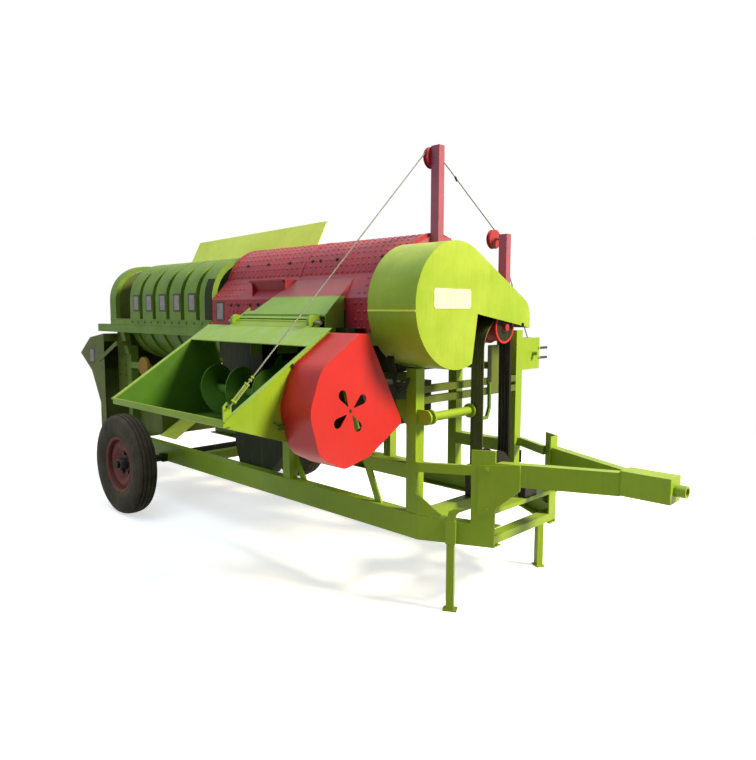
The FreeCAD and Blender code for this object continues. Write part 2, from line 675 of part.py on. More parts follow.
def stands():
    """Two square legs with hooked tops that slide in sleeves, turned to the angled rails."""
    w = STAND_W / 2.0
    leg = box(-w, w, -w, w, FOOT_T, STAND_TOP)
    foot = box(-FOOT_W / 2.0, FOOT_W / 2.0, -FOOT_D / 2.0, FOOT_D / 2.0, 0.0, FOOT_T)
    hook = plate_y([(x, STAND_TOP + z) for x, z in HOOK_PLATE], -w, GUSSET_T - w)
    g = w + SLEEVE_GAP
    sleeve = box(-STAND_OUT, STAND_OUT, -STAND_OUT, STAND_OUT, SLEEVE_Z0, SLEEVE_Z1)
    sleeve = sleeve.cut(box(-g, g, -g, g, SLEEVE_Z0, SLEEVE_Z1))

    def placed(shape):
        shape.rotate(V(0, 0, 0), V(0, 0, 1), math.degrees(math.atan(RAIL_SLOPE)))
        shape.translate(V(STAND_X, -STAND_Y, 0))
        return both(shape)

    right, left = placed(leg.fuse([foot, hook]))
    add("stand_right", right)
    add("stand_left", left)
    add("stand_sleeves", *placed(sleeve))


# ---- thresher body ---------------------------------------------------------------------
def body_outline(x):
    """Outline of the threshing body across the machine."""
    drop = FLANGE_Z - DOME_Z
    dy = math.sqrt(DOME_R ** 2 - drop ** 2)
    start, end = V(x, DOME_Y - dy, FLANGE_Z), V(x, DOME_Y + dy, FLANGE_Z)
    near = [V(x, BODY_NEAR_Y, BEAM_TOP_Z), V(x, BODY_NEAR_Y, SHOULDER_Z), start]
    far = [end, V(x, BODY_FAR_Y, SHOULDER_Z), V(x, BODY_FAR_Y, BEAM_TOP_Z), near[0]]
    edges = [Part.LineSegment(p, q).toShape() for p, q in zip(near, near[1:])]
    edges.append(Part.Arc(start, V(x, DOME_Y, DOME_Z + DOME_R), end).toShape())
    edges += [Part.LineSegment(p, q).toShape() for p, q in zip(far, far[1:])]
    return Part.Wire(edges)


def body_block():
    """The threshing body as one block."""
    return Part.Face(body_outline(CAGE_END_X)).extrude(V(BODY_FRONT_X - CAGE_END_X, 0, 0))


def ledge():
    """Folded ledge on the right shoulder, closed by a triangle at each end."""
    slope = (FLANGE_Z - SHOULDER_Z) / (DOME_Y - math.sqrt(DOME_R ** 2 - (FLANGE_Z - DOME_Z) ** 2) - BODY_NEAR_Y)
    top = LEDGE_Z + SHEET
    y_out = BODY_NEAR_Y + LEDGE_INSET
    y_in = BODY_NEAR_Y + (top - SHOULDER_Z) / slope
    y_low = BODY_NEAR_Y + (LEDGE_Z - SHOULDER_Z) / slope
    x0, x1 = LEDGE_X0, HOOD_TOP_X0
    piece = plate_x([(y_out, LEDGE_Z), (y_out, top), (y_in, top), (y_low, LEDGE_Z)], x0, x1)
    end = [(y_out, LEDGE_Z), (y_low, LEDGE_Z), (y_out, SHOULDER_Z + slope * LEDGE_INSET)]
    return piece.fuse([plate_x(end, x0, x0 + SHEET), plate_x(end, x1 - SHEET, x1)])


def thresher_body():
    """Red threshing body with its feed mouth, and the beams and brackets that carry it."""
    mouth = box(MOUTH_X0, MOUTH_X1, BODY_NEAR_Y, BODY_NEAR_Y + MOUTH_DEPTH, MOUTH_Z0, MOUTH_Z1)
    add("drum_housing", body_block().cut(mouth).fuse(ledge()))
    near, far = BODY_NEAR_Y, BODY_FAR_Y
    lower = box(CAGE_END_X, BODY_FRONT_X, near + BEAM_W, far - BEAM_W, FLOOR_Z, BEAM_TOP_Z)
    add("lower_housing", lower.cut(mouth))
    z0 = BEAM_TOP_Z - BEAM_H
    for y0, y1 in ((near, near + BEAM_W), (far - BEAM_W, far)):
        add("side_beams", box(BODY_REAR_X - BEAM_TAIL, BODY_FRONT_X, y0, y1, z0, BEAM_TOP_Z).cut(mouth))
    h = POST / 2.0
    foot_z, arm_z = REAR_POST_TOP - POST, z0 + BEAM_H / 2.0
    y_beam = near + BEAM_W
    arm = [(-FRAME_HALF, foot_z), (-FRAME_HALF, arm_z), (y_beam, arm_z), (y_beam, z0), (near + BEAM_W / 2.0, z0),
           (-FRAME_HALF - BRACE_T, foot_z)]
    add("side_beams", plate_x(arm, POST_REAR_X - h, POST_REAR_X + h))
    for x in (POST_REAR_X, POST_CAGE_X):
        add("side_beams", box(x - h, x + h, far, FRAME_HALF, z0, z0 + FLOOR_BEAM_H))


def rib_cage():
    """Arched slats over the rear half of the drum, on a thin inner shell."""
    z0 = BEAM_TOP_Z
    shell = arch_band(SLAT_X0, CAGE_END_X, CAGE_HALF - SLAT_T, z0, CAGE_TOP_Z - SLAT_T, CAGE_SHOULDER_R - SLAT_T,
                      SHEET)
    lap = SLAT_T + SHEET / 2.0
    starts = [(BODY_REAR_X, END_ARCH_W)] + [(SLAT_X0 + i * SLAT_PITCH, SLAT_W) for i in range(SLAT_COUNT)]
    starts.append((CAGE_END_X - SLAT_W, SLAT_W))
    cage = shell.fuse([arch_band(x, x + w, CAGE_HALF, z0, CAGE_TOP_Z, CAGE_SHOULDER_R, lap) for x, w in starts])
    for y in (DOME_Y - CAGE_HALF, DOME_Y + CAGE_HALF - lap):
        cage = cage.fuse(box(BODY_REAR_X, CAGE_END_X, y, y + lap, z0, z0 + CAGE_FOOT_H))
    add("rib_cage", cage.removeSplitter())


def trough(x0, x1, r_out, r_in):
    """A half-round trough under the drum."""
    ring = cyl_x(x0, x1, DOME_Y, CONCAVE_Z, r_out).cut(cyl_x(x0, x1, DOME_Y, CONCAVE_Z, r_in))
    return ring.common(box(x0, x1, DOME_Y - r_out, DOME_Y + r_out, CONCAVE_Z - r_out, BEAM_TOP_Z))


def concave():
    """Half-round grate under the cage, with raised bars round it, and the rear wall."""
    x0, x1 = BODY_REAR_X + END_ARCH_W, CAGE_END_X
    z = BEAM_TOP_Z
    half = math.sqrt(CONCAVE_R ** 2 - (CONCAVE_Z - z) ** 2) - SHEET
    grate = trough(x0, x1, CONCAVE_R, CONCAVE_R - SHEET)
    for y0, y1 in ((BODY_NEAR_Y + BEAM_W, DOME_Y - half), (DOME_Y + half, BODY_FAR_Y - BEAM_W)):
        grate = grate.fuse(box(x0, x1, y0, y1, z - SHEET * 2.0, z))
    margin = (SLAT_W - CONCAVE_BAR) / 2.0
    bars = []
    for i in range(-1, SLAT_COUNT + 1):
        x = SLAT_X0 + i * SLAT_PITCH + margin
        bars.append(trough(x, x + CONCAVE_BAR, CONCAVE_R + CONCAVE_BAR_H, CONCAVE_R - SHEET / 2.0))
    add("concave", grate.fuse(bars).removeSplitter())
    inset = SLAT_T + SHEET
    wall = Part.Face(arch_wire(x0 - WALL_T, DOME_Y, CAGE_HALF - inset, z, CAGE_TOP_Z - inset,
                               CAGE_SHOULDER_R - inset)).extrude(V(WALL_T, 0, 0))
    lower = cyl_x(x0 - WALL_T, x0, DOME_Y, CONCAVE_Z, CONCAVE_R)
    wall = wall.fuse(lower.common(box(x0 - WALL_T, x0, DOME_Y - CONCAVE_R, DOME_Y + CONCAVE_R, 0.0, z)))
    boss = cyl_x(BODY_REAR_X - REAR_BOSS_L, x0 - WALL_T, DRUM_Y, DRUM_Z, REAR_BOSS_R)
    add("rear_wall", wall.fuse(boss).removeSplitter())


def rear_hood():
    """Straw hood behind the drum, open underneath, with its stay and the side panels."""
    x1 = HOOD_FRONT_X
    points = [(x1, HOOD_TOP_Z), (x1, HOOD_Z)] + [(REAR_HOOD_X + x, HOOD_Z + z) for x, z in HOOD_BACK]
    y0, y1 = HOOD_NEAR_Y, HOOD_FAR_Y
    under = box(REAR_HOOD_X, x1, y0 + SHEET, y1 - SHEET, HOOD_Z, HOOD_Z + 2.0 * SHEET)
    front = box(x1 - 2.0 * SHEET, x1, y0 + SHEET, y1 - SHEET, HOOD_Z, HOOD_TOP_Z - POST)
    add("straw_hood", hollow_y(points, y0, y1, SHEET, [under, front]))

    xb = POST_REAR_X - POST / 2.0
    panel = box(x1, xb, -FRAME_HALF, SHEET - FRAME_HALF, PANEL_Z0, BEAM_TOP_Z - BEAM_H)
    for i in range(PANEL_HOLES):
        for x in (x1 + POST / 2.0, xb - POST / 2.0):
            z = PANEL_Z0 + PANEL_HOLE_PITCH * (i + 1)
            panel = panel.cut(cyl_y(-FRAME_HALF, SHEET - FRAME_HALF, x, z, PANEL_HOLE_R))
    add("side_panels", panel)
    add("side_panels", box(x1, xb, BODY_FAR_Y - SHEET, BODY_FAR_Y, PANEL_Z0, BEAM_TOP_Z - BEAM_H))
    xp = POST_A_X + POST / 2.0
    add("side_panels", box(xp, xp + SHEET, PANEL_Y, PANEL_Y + PANEL_W, PANEL_LOW_Z, PANEL_TOP_Z))
    low, high = STAY_FOOT, (xb + POST, STAY_TOP_Z)
    stay = plate_y([low, high, (high[0], high[1] - STAY_W), (low[0], low[1] - STAY_W)], y0 - SHEET, y0)
    lug = box(high[0], high[0] + STAY_W / 2.0, y0 - SHEET, -FRAME_HALF, high[1] - STAY_W, high[1])
    add("side_panels", stay.fuse(lug))


def top_chute():
    """Long deflector sheet that leans over the drum's crown, with its ribs."""
    dy, dz = CHUTE_LEAN, CHUTE_TOP_Z - CAGE_TOP_Z
    y0, z0 = CHUTE_Y, CAGE_TOP_Z
    sheet = plate_x([(y0, z0), (y0 + SHEET, z0), (y0 + SHEET + dy, z0 + dz), (y0 + dy, z0 + dz)], CHUTE_X0, CHUTE_X1)
    trim = plate_y([(CHUTE_X0, CHUTE_TOP_Z - CHUTE_FALL), (CHUTE_X1, CHUTE_TOP_Z), (CHUTE_X1, CHUTE_TOP_Z + SHEET),
                    (CHUTE_X0, CHUTE_TOP_Z + SHEET)], y0, y0 + dy + SHEET)
    low = box(CHUTE_X0, CHUTE_X1, y0, y0 + dy, z0, z0 + CHUTE_GAP)
    sheet = sheet.cut([trim, low])
    step = (CHUTE_X1 - CHUTE_X0 - CHUTE_RIB_T) / (CHUTE_RIBS - 1)
    share = CHUTE_RIB_SHARE
    rib = [(y0 + SHEET, z0), (y0 + SHEET + dy + CHUTE_RIB_FOOT, z0), (y0 + SHEET + dy * share, z0 + dz * share)]
    for i in range(CHUTE_RIBS):
        x = CHUTE_X0 + i * step
        sheet = sheet.fuse(plate_x(rib, x, x + CHUTE_RIB_T))
    add("top_deflector", sheet.cut(body_block()).removeSplitter())


def lower_body():
    """Fan casings, shaker box, grain pan with its spout, and the shaker's drive pulley."""
    x0, x1, z0, z1 = FAN_X0, FAN_X1, FAN_Z0, SHAKER_Z0
    scroll = [(x0, z1), (x0, z0 + FAN_CUT_H), (x0 + FAN_CUT_W, z0), (x1 - FAN_CUT_H, z0), (x1, z0 + FAN_CUT_H),
              (x1, z1)]
    add("fan_casings", *both(hollow_y(scroll, -INNER_HALF, FAN_D - INNER_HALF, WALL_T, [])))
    room = box(SHAKER_X0 + WALL_T, SHAKER_X1 - WALL_T, WALL_T - INNER_HALF, INNER_HALF - WALL_T,
               SHAKER_Z0 + WALL_T, SHAKER_TOP - WALL_T)
    add("shaker_box", box(SHAKER_X0, SHAKER_X1, -INNER_HALF, INNER_HALF, SHAKER_Z0, SHAKER_TOP).cut(room))

    pan = [(PAN_X0, SHAKER_Z0), (PAN_X0, PAN_Z0), (PAN_X1, PAN_Z0), (PAN_X1, SHAKER_Z0)]
    add("grain_pan", hollow_y(pan, -INNER_HALF, INNER_HALF, SHEET, []))
    rise = SHAKER_Z0 - PAN_Z0
    y1 = SPOUT_LIP_Y + rise / SPOUT_RISE
    sheet = [(SPOUT_LIP_Y, PAN_Z0), (y1, SHAKER_Z0), (y1 + SHEET, SHAKER_Z0), (SPOUT_LIP_Y + SHEET, PAN_Z0)]
    add("grain_spout", plate_x(sheet, PAN_X1, PAN_X1 + SPOUT_W))

    x, z = SHAKER_PULLEY_X, SHAKER_PULLEY_Z
    h = SHAKER_ARM_H / 2.0
    arm = box(POST_REAR_X + POST / 2.0, x + h, -FRAME_HALF, SHAKER_ARM_T - FRAME_HALF, z - h, z + h)
    arm = arm.cut(cyl_y(-FRAME_HALF, -INNER_HALF, x, z, SHAKER_SHAFT_R + RUN_FIT))
    add("shaker_arm", arm)
    y1 = -FRAME_HALF - 1.0
    disc = cyl_y(y1 - SHAKER_PULLEY_W, y1, x, z, SHAKER_PULLEY_R)
    add("shaker_pulley", disc.fuse(cyl_y(y1, y1 + 2.0 * SHAKER_PULLEY_W, x, z, SHAKER_SHAFT_R)))


# ---- feeder ----------------------------------------------------------------------------
def hood_section(y_low, z_low, y_top, grow, drop):
    """Block under the hood's sloping sheet, grown sideways and lowered by the given amounts."""
    sides = []
    for y, z, half in ((y_low, z_low, HOOD_HALF_LOW + grow), (y_top, LEDGE_Z, HOOD_HALF_TOP + grow)):
        x0, x1 = HOOD_X_MID - half, HOOD_X_MID + half
        ring = [V(x0, y, z - drop), V(x1, y, z - drop), V(x1, y, MOUTH_Z0), V(x0, y, MOUTH_Z0)]
        sides.append(Part.makePolygon(ring + ring[:1]))
    return Part.makeLoft(sides, True, True)


def feed_hood():
    """Fixed hood from the hinge line up to the shoulder, with its cheeks and hinge lugs."""
    y_top = BODY_NEAR_Y + BEAM_W + BEAM_W
    slope = (LEDGE_Z - HINGE_Z) / (y_top - HINGE_Y)
    y_low = HINGE_Y + LUG_R + HOOD_CLEAR
    z_low = HINGE_Z + slope * (y_low - HINGE_Y) + HOOD_CLEAR
    hood = hood_section(y_low, z_low, y_top, 0.0, 0.0).cut(hood_section(y_low, z_low, y_top, -SHEET, SHEET))
    xa, xb = HOOD_X_MID - HOOD_HALF_LOW, HOOD_X_MID + HOOD_HALF_LOW
    hood = hood.cut([box(xa, xb, y_low, y_top, MOUTH_Z0, HOOD_CHEEK_Z), body_block(), ledge()])
    bar = plate_x([(y_low, z_low - 1.0), (y_low + BAR_D, z_low - 1.0 + slope * BAR_D),
                   (y_low + BAR_D, z_low + slope * BAR_D - BAR_H), (y_low, z_low - BAR_H)], LUG_X0, xb)
    hood = hood.fuse(bar)
    reach = LUG_R + LUG_T
    for x in (LUG_X0, LUG_X1):
        ear = plate_x([(HINGE_Y, HINGE_Z + HOOD_CLEAR), (y_low + reach, HINGE_Z + HOOD_CLEAR),
                       (y_low + reach, z_low + slope * reach - 1.0), (y_low, z_low - 1.0)], x, x + LUG_T)
        hood = hood.fuse(ear.fuse(cyl_x(x, x + LUG_T, HINGE_Y, HINGE_Z, LUG_R)))
    hood = hood.cut(cyl_x(LUG_X0, LUG_X1 + LUG_T, HINGE_Y, HINGE_Z, HINGE_ROD_R + RUN_FIT))
    add("feed_hood", hood.removeSplitter())
    add("hinge_rod", cyl_x(LUG_X0 - ROD_OVERHANG, LUG_X1 + LUG_T + ROD_OVERHANG, HINGE_Y, HINGE_Z, HINGE_ROD_R))


def feed_sill():
    """Sloping sill under the feed mouth, with its two cheeks."""
    y_wall = BODY_NEAR_Y + BEAM_W
    sill = plate_x([(y_wall, MOUTH_Z0), (SILL_Y, SILL_Z), (SILL_Y, SILL_Z - SHEET), (y_wall, MOUTH_Z0 - SHEET)],
                   MOUTH_X0, MOUTH_X1)
    cheek = [(y_wall, MOUTH_Z0), (SILL_Y, SILL_Z), (BODY_NEAR_Y, HOOD_CHEEK_Z), (y_wall, HOOD_CHEEK_Z)]
    for x in (MOUTH_X0, MOUTH_X1 - SHEET):
        sill = sill.fuse(plate_x(cheek, x, x + SHEET))
    add("feed_sill", sill.removeSplitter())


def feeder():
    """Feed tray that folds up about the hinge rod, with its lugs and rope eye."""
    t = TRAY_SHEET
    y_back = AUGER_Y + TROUGH_R + t
    z_low = AUGER_Z - TROUGH_R - t
    z_top = HINGE_Z - TRAY_DROP
    side = [(TRAY_BACK_Y, z_top), (LIP_Y, LIP_Z), (LIP_Y, LIP_Z - LIP_FOLD), (TRAY_KNEE_Y, z_low), (y_back, z_low),
            (y_back, AUGER_Z)]
    x0, x1 = TRAY_X0, TRAY_X1
    slope = (z_top - LIP_Z) / (TRAY_BACK_Y - LIP_Y)
    y_edge = TRAY_BACK_Y - TOP_PLATE
    z_edge = z_top - TOP_PLATE * slope
    sheets = [
        plate_x(side, x1 - t, x1),
        plate_x([side[2], side[3], side[4], (y_back, z_low + t), (TRAY_KNEE_Y, z_low + t),
                 (LIP_Y + t, LIP_Z - LIP_FOLD + t), (LIP_Y + t, LIP_Z), side[1]], x0, x1),
        plate_x([(y_back - t, z_low), side[4], side[5], (y_back - t, AUGER_Z)], x0, x1),
        plate_x([side[0], (y_edge, z_edge), (y_edge, z_edge - t), (TRAY_BACK_Y, z_top - t)], x0, x1),
    ]
    for xa in (x0 - TRAY_FLANGE + t, x1 - t):
        sheets.append(plate_x([side[0], side[1], (LIP_Y, LIP_Z - t), (TRAY_BACK_Y, z_top - t)], xa, xa + TRAY_FLANGE))
    foot = (y_edge + TOP_PLATE / 4.0, z_edge + slope * TOP_PLATE / 4.0 - 1.0)
    for x in (LUG_X0, LUG_X1):
        xa = x + LUG_T + LUG_GAP
        ear = plate_x([(HINGE_Y + TAB, HINGE_Z - TAB), (HINGE_Y - TAB, HINGE_Z + TAB), foot,
                       (TRAY_BACK_Y, z_top - t / 2.0)], xa, xa + LUG_T)
        sheets += [ear, cyl_x(xa, xa + LUG_T, HINGE_Y, HINGE_Z, LUG_R)]
    tray = plate_x(side, x0, x0 + t).fuse(sheets)
    tray = tray.cut(cyl_x(x0, x1, HINGE_Y, HINGE_Z, HINGE_ROD_R + RUN_FIT))
    y0, y1 = LIP_Y, LIP_Y + EYE_W
    eye = plate_x([(y0, LIP_Z - LIP_FOLD), (y1, LIP_Z - LIP_FOLD), (y1, EYE_Z), ((y0 + y1) / 2.0, EYE_Z + EYE_W / 2.0),
                   (y0, EYE_Z)], x1, x1 + EYE_T)
    tray = tray.fuse(eye.cut(cyl_x(x1, x1 + EYE_T, EYE_Y, EYE_Z, EYE_R)))
    bores = cyl_x(x0 - TRAY_FLANGE, x1 + TRAY_FLANGE, AUGER_Y, AUGER_Z, AUGER_SHAFT_R + AUGER_FIT)
    add("feed_tray", tray.cut(bores).removeSplitter())


def auger():
    """Auger shaft with its helical flight."""
    x0, x1 = TRAY_X0 + FLIGHT_START, TRAY_X1 - FLIGHT_END
    shaft = cyl_x(TRAY_X0 - AUGER_STUB, TRAY_X1 + RED_GUARD_W - AUGER_STUB, AUGER_Y, AUGER_Z, AUGER_SHAFT_R)
    h = FLIGHT_T / 2.0
    count = int(AUGER_STEPS * (x1 - x0) / AUGER_PITCH)

    def ring(i):
        a = 2.0 * math.pi * i / AUGER_STEPS
        x = x0 + AUGER_PITCH * i / AUGER_STEPS
        corners = [(x - h, AUGER_SHAFT_R - h), (x + h, AUGER_SHAFT_R - h), (x + h, AUGER_R), (x - h, AUGER_R)]
        return [V(px, AUGER_Y + r * math.cos(a), AUGER_Z + r * math.sin(a)) for px, r in corners]

    add("auger", shaft.fuse(helicoid([ring(i) for i in range(count + 1)])))


def helicoid(rings):
    """A solid flight made of flat facets between successive radial sections."""
    faces = []

    def quad(a, b, c, d):
        for corners in ([a, b, c, a], [a, c, d, a]):
            faces.append(Part.Face(Part.makePolygon(corners)))

    for one, two in zip(rings, rings[1:]):
        for i in range(4):
            j = (i + 1) % 4
            quad(one[i], one[j], two[j], two[i])
    quad(*rings[0])
    quad(*rings[-1])
    solid = Part.Solid(Part.Shell(faces))
    if solid.Volume < 0:
        solid.reverse()
    return solid


def auger_guard():
    """Red guard over the auger's drive, with its ring of teardrop openings."""
    x0, x1 = TRAY_X1, TRAY_X1 + RED_GUARD_W
    wire = rounded([(AUGER_Y + y, AUGER_Z + z) for y, z in RED_GUARD_OUTLINE], x0, RED_GUARD_ROUND)
    outer_block = Part.Face(wire).extrude(V(x1 - x0, 0, 0))
    inner = Part.Face(wire.makeOffset2D(-SHEET)).extrude(V(x1 - x0 - SHEET, 0, 0))
    guard = outer_block.cut(inner)
    y, z = AUGER_Y + PETAL_Y, AUGER_Z + PETAL_Z
    for i in range(PETALS):
        a = math.radians(PETAL_TURN + 360.0 * i / PETALS)
        c, s = math.cos(a), math.sin(a)
        drop = hull_wire(x1 - SHEET, ((y + PETAL_MID * c, z + PETAL_MID * s, PETAL_R),
                                      (y + PETAL_TIP * c, z + PETAL_TIP * s, SHEET)))
        guard = guard.cut(Part.Face(drop).extrude(V(SHEET, 0, 0)))
    add("auger_guard", guard.cut(cyl_x(x1 - SHEET, x1, y, z, PETAL_HUB_R)))


# ---- drive -----------------------------------------------------------------------------
def guard_foot():
    """Where the guard's round front meets the edge of the belt mouth, as (y, z)."""
    dy = BELT_MOUTH_Y0 - MOUTH_STEP - GUARD_Y
    return GUARD_Y + dy, GUARD_Z - math.sqrt(GUARD_R ** 2 - dy * dy)


def guard_wire(x):
    """Outline of the belt guard: a round front and a tail over the upper pulley."""
    y, z = GUARD_Y, GUARD_Z
    base = math.atan2(GUARD_TAIL_Z - z, GUARD_TAIL_Y - y)
    a1 = base + math.acos((GUARD_R - GUARD_TAIL_R) / math.hypot(GUARD_TAIL_Z - z, GUARD_TAIL_Y - y))

    def front(a):
        return V(x, y + GUARD_R * math.cos(a), z + GUARD_R * math.sin(a))

    def tail(a):
        return V(x, GUARD_TAIL_Y + GUARD_TAIL_R * math.cos(a), GUARD_TAIL_Z + GUARD_TAIL_R * math.sin(a))

    foot = V(x, *guard_foot())
    a4 = math.atan2(foot.z - z, foot.y - y)
    marks = [tail(0.0), V(x, tail(0.0).y, BELT_MOUTH_Z - MOUTH_DROP), V(x, BELT_MOUTH_Y1, BELT_MOUTH_Z),
             V(x, BELT_MOUTH_Y0, BELT_MOUTH_Z + MOUTH_RISE), foot]
    edges = [Part.LineSegment(p, q).toShape() for p, q in zip(marks, marks[1:])]
    return Part.Wire([
        Part.LineSegment(front(a1), tail(a1)).toShape(),
        Part.Arc(tail(a1), tail(a1 / 2.0), tail(0.0)).toShape(),
        *edges,
        Part.Arc(foot, front((a1 + a4) / 2.0 + math.pi), front(a1)).toShape(),
    ])


def belt_guard():
    """Green sheet guard over the drum pulley, open behind and where the belts enter."""
    x0, x1 = GUARD_X0, GUARD_X0 + GUARD_W
    t = GUARD_SHEET
    wire = guard_wire(x0)
    guard = Part.Face(wire).extrude(V(x1 - x0, 0, 0))
    guard = guard.cut(Part.Face(wire.makeOffset2D(-t)).extrude(V(x1 - x0 - t, 0, 0)))
    y0, y1, z0 = BELT_MOUTH_Y0, BELT_MOUTH_Y1, BELT_MOUTH_Z
    y2 = GUARD_TAIL_Y + GUARD_TAIL_R - t
    low = guard_foot()[1] - MOUTH_STEP / 2.0
    edge = MOUTH_STEP / 2.0
    mouth = plate_x([(y0 - 1.5 * MOUTH_STEP, low), (y0 - edge, z0 + MOUTH_RISE + edge), (y1, z0 + edge), (y2, z0 - t),
                     (y2, low), (y0, low)], x0, x1 - t)
    notch = cyl_x(x1 - t, x1, GUARD_NOTCH_Y, z0 - MOUTH_DROP / 2.0, GUARD_NOTCH_R)
    add("belt_guard", guard.cut([mouth, notch]))


def pulley(x, y, z, r):
    """A flanged belt pulley on an X shaft."""
    h = PULLEY_W / 2.0
    body = cyl_x(x - h, x + h, y, z, r - FLANGE_H)
    return body.fuse([cyl_x(x0, x0 + FLANGE_T, y, z, r) for x0 in (x - h, x + h - FLANGE_T)])


def drive():
    """Input, idler and drum pulleys, each with its shaft."""
    end = PULLEY_W / 2.0 + SHAFT_TAIL
    neck = INPUT_END_X - SPLINE_LEN
    shaft = cyl_x(POST_A_X + POST / 2.0 - BEARING_L, neck, PTO_Y, PTO_Z, INPUT_SHAFT_R)
    shaft = shaft.fuse(cyl_x(neck, INPUT_END_X, PTO_Y, PTO_Z, SPLINE_R))
    add("input_pulley", pulley(BELT_X, PTO_Y, PTO_Z, PTO_PULLEY_R).fuse(shaft))
    jack = pulley(BELT_X, JACK_Y, JACK_Z, JACK_R).fuse(pulley(BELT2_X, JACK_Y, JACK_Z, JACK_R))
    add("jack_pulley", jack.fuse(cyl_x(BODY_FRONT_X + 1.0, BELT_X + end, JACK_Y, JACK_Z, JACK_SHAFT_R)))
    drum = cyl_x(BODY_FRONT_X + BEARING_T + SLEEVE_GAP, BELT2_X + end, DRUM_Y, DRUM_Z, DRUM_SHAFT_R)
    add("drum_pulley", pulley(BELT2_X, DRUM_Y, DRUM_Z, DRUM_PULLEY_R).fuse(drum))


def bearings():
    """Bearing blocks of the three shafts."""
    h = BEARING_W / 2.0
    bore = INPUT_SHAFT_R + RUN_FIT
    rail_top = RAIL_Z + RAIL_H - RAIL_T
    for x1, z0 in ((FRONT_X - GUSSET_T, DECK_Z + DECK_T), (POST_A_X + POST / 2.0, rail_top)):
        block = box(x1 - BEARING_L, x1, PTO_Y - h, PTO_Y + h, z0, PTO_Z + BEARING_TOP)
        add("bearings", block.cut(cyl_x(x1 - BEARING_L, x1, PTO_Y, PTO_Z, bore)))
    x0, x1 = BODY_FRONT_X, BODY_FRONT_X + BEARING_T
    plate = box(x0, x1, JACK_Y - h, JACK_Y + h, JACK_Z - h, JACK_Z + h)
    add("bearings", plate.cut(cyl_x(x0, x1, JACK_Y, JACK_Z, JACK_SHAFT_R + RUN_FIT)))
    add("bearings", cyl_x(x0, x1, DRUM_Y, DRUM_Z, h))


def roller():
    """Belt roller on its plate at the right tall post."""
    y0, t = -FRAME_HALF + ROLLER_FLANGE_T, ROLLER_FLANGE_T
    tube = cyl_y(y0, ROLLER_Y1, ROLLER_X, ROLLER_Z, ROLLER_R)
    rings = [cyl_y(y, y + t, ROLLER_X, ROLLER_Z, ROLLER_FLANGE_R) for y in (y0, y0 + 3.0 * t, ROLLER_Y1 - t)]
    plate = box(POST_A_X + POST / 2.0, ROLLER_X, y0, y0 + t, ROLLER_Z - ROLLER_FLANGE_R, ROLLER_Z + ROLLER_FLANGE_R)
    add("roller", tube.fuse(rings + [plate]).removeSplitter())


def belt_band(x, path):
    """A belt set as a flat band: between a closed path and its outward offset."""
    width = PULLEY_W - 2.0 * FLANGE_T - BELT_PLAY
    wire = path(x - width / 2.0)
    outside = Part.Face(wire.makeOffset2D(BELT_T)).extrude(V(width, 0, 0))
    return outside.cut(Part.Face(wire).extrude(V(width, 0, 0)))


def long_belt_path(x):
    """Inner line of the long belts: straight on the left, slack on the right."""
    rp, rj = PTO_PULLEY_R - FLANGE_H + BELT_GAP, JACK_R - FLANGE_H + BELT_GAP
    base = math.atan2(JACK_Z - PTO_Z, JACK_Y - PTO_Y)
    a = base - math.acos((rp - rj) / math.hypot(JACK_Z - PTO_Z, JACK_Y - PTO_Y))

    def low(angle):
        return V(x, PTO_Y + rp * math.cos(angle), PTO_Z + rp * math.sin(angle))

    def high(angle):
        return V(x, JACK_Y + rj * math.cos(angle), JACK_Z + rj * math.sin(angle))

    leave = 0.75 * math.pi
    top, start = high(leave), low(math.pi)
    knee = V(x, start.y, top.z - (top.y - start.y))
    run, down = (top - knee).normalize(), V(0, 0, -1)
    half = run.getAngle(down) / 2.0
    cut = SLACK_BEND / math.tan(half)
    k1, k2 = knee + run * cut, knee + down * cut
    middle = knee + (run + down).normalize() * (SLACK_BEND / math.sin(half) - SLACK_BEND)
    return Part.Wire([
        Part.Arc(start, low(1.5 * math.pi), low(a)).toShape(),
        Part.LineSegment(low(a), high(a)).toShape(),
        Part.Arc(high(a), high((a + leave) / 2.0), top).toShape(),
        Part.LineSegment(top, k1).toShape(),
        Part.Arc(k1, middle, k2).toShape(),
        Part.LineSegment(k2, start).toShape(),
    ])


def short_belt_path(x):
    """Inner line of the short belts from the idler to the drum pulley."""
    rd, rj = DRUM_PULLEY_R - FLANGE_H + BELT_GAP, JACK_R - FLANGE_H + BELT_GAP
    return hull_wire(x, ((DRUM_Y, DRUM_Z, rd), (JACK_Y, JACK_Z, rj)))


def belts():
    """The two sets of vee belts, each as one band."""
    add("long_belts", belt_band(BELT_X, long_belt_path))
    add("short_belts", belt_band(BELT2_X, short_belt_path))


# ---- masts and winch -------------------------------------------------------------------
def sheave_centres():
    """Centres of the right and left rope sheaves, as (y, z)."""
    return ((NEAR_MAST_Y + MAST_Y / 2.0, NEAR_MAST_TOP - SHEAVE_R),
            (INNER_HALF - MAST_Y / 2.0, FAR_MAST_TOP - SHEAVE_DROP))


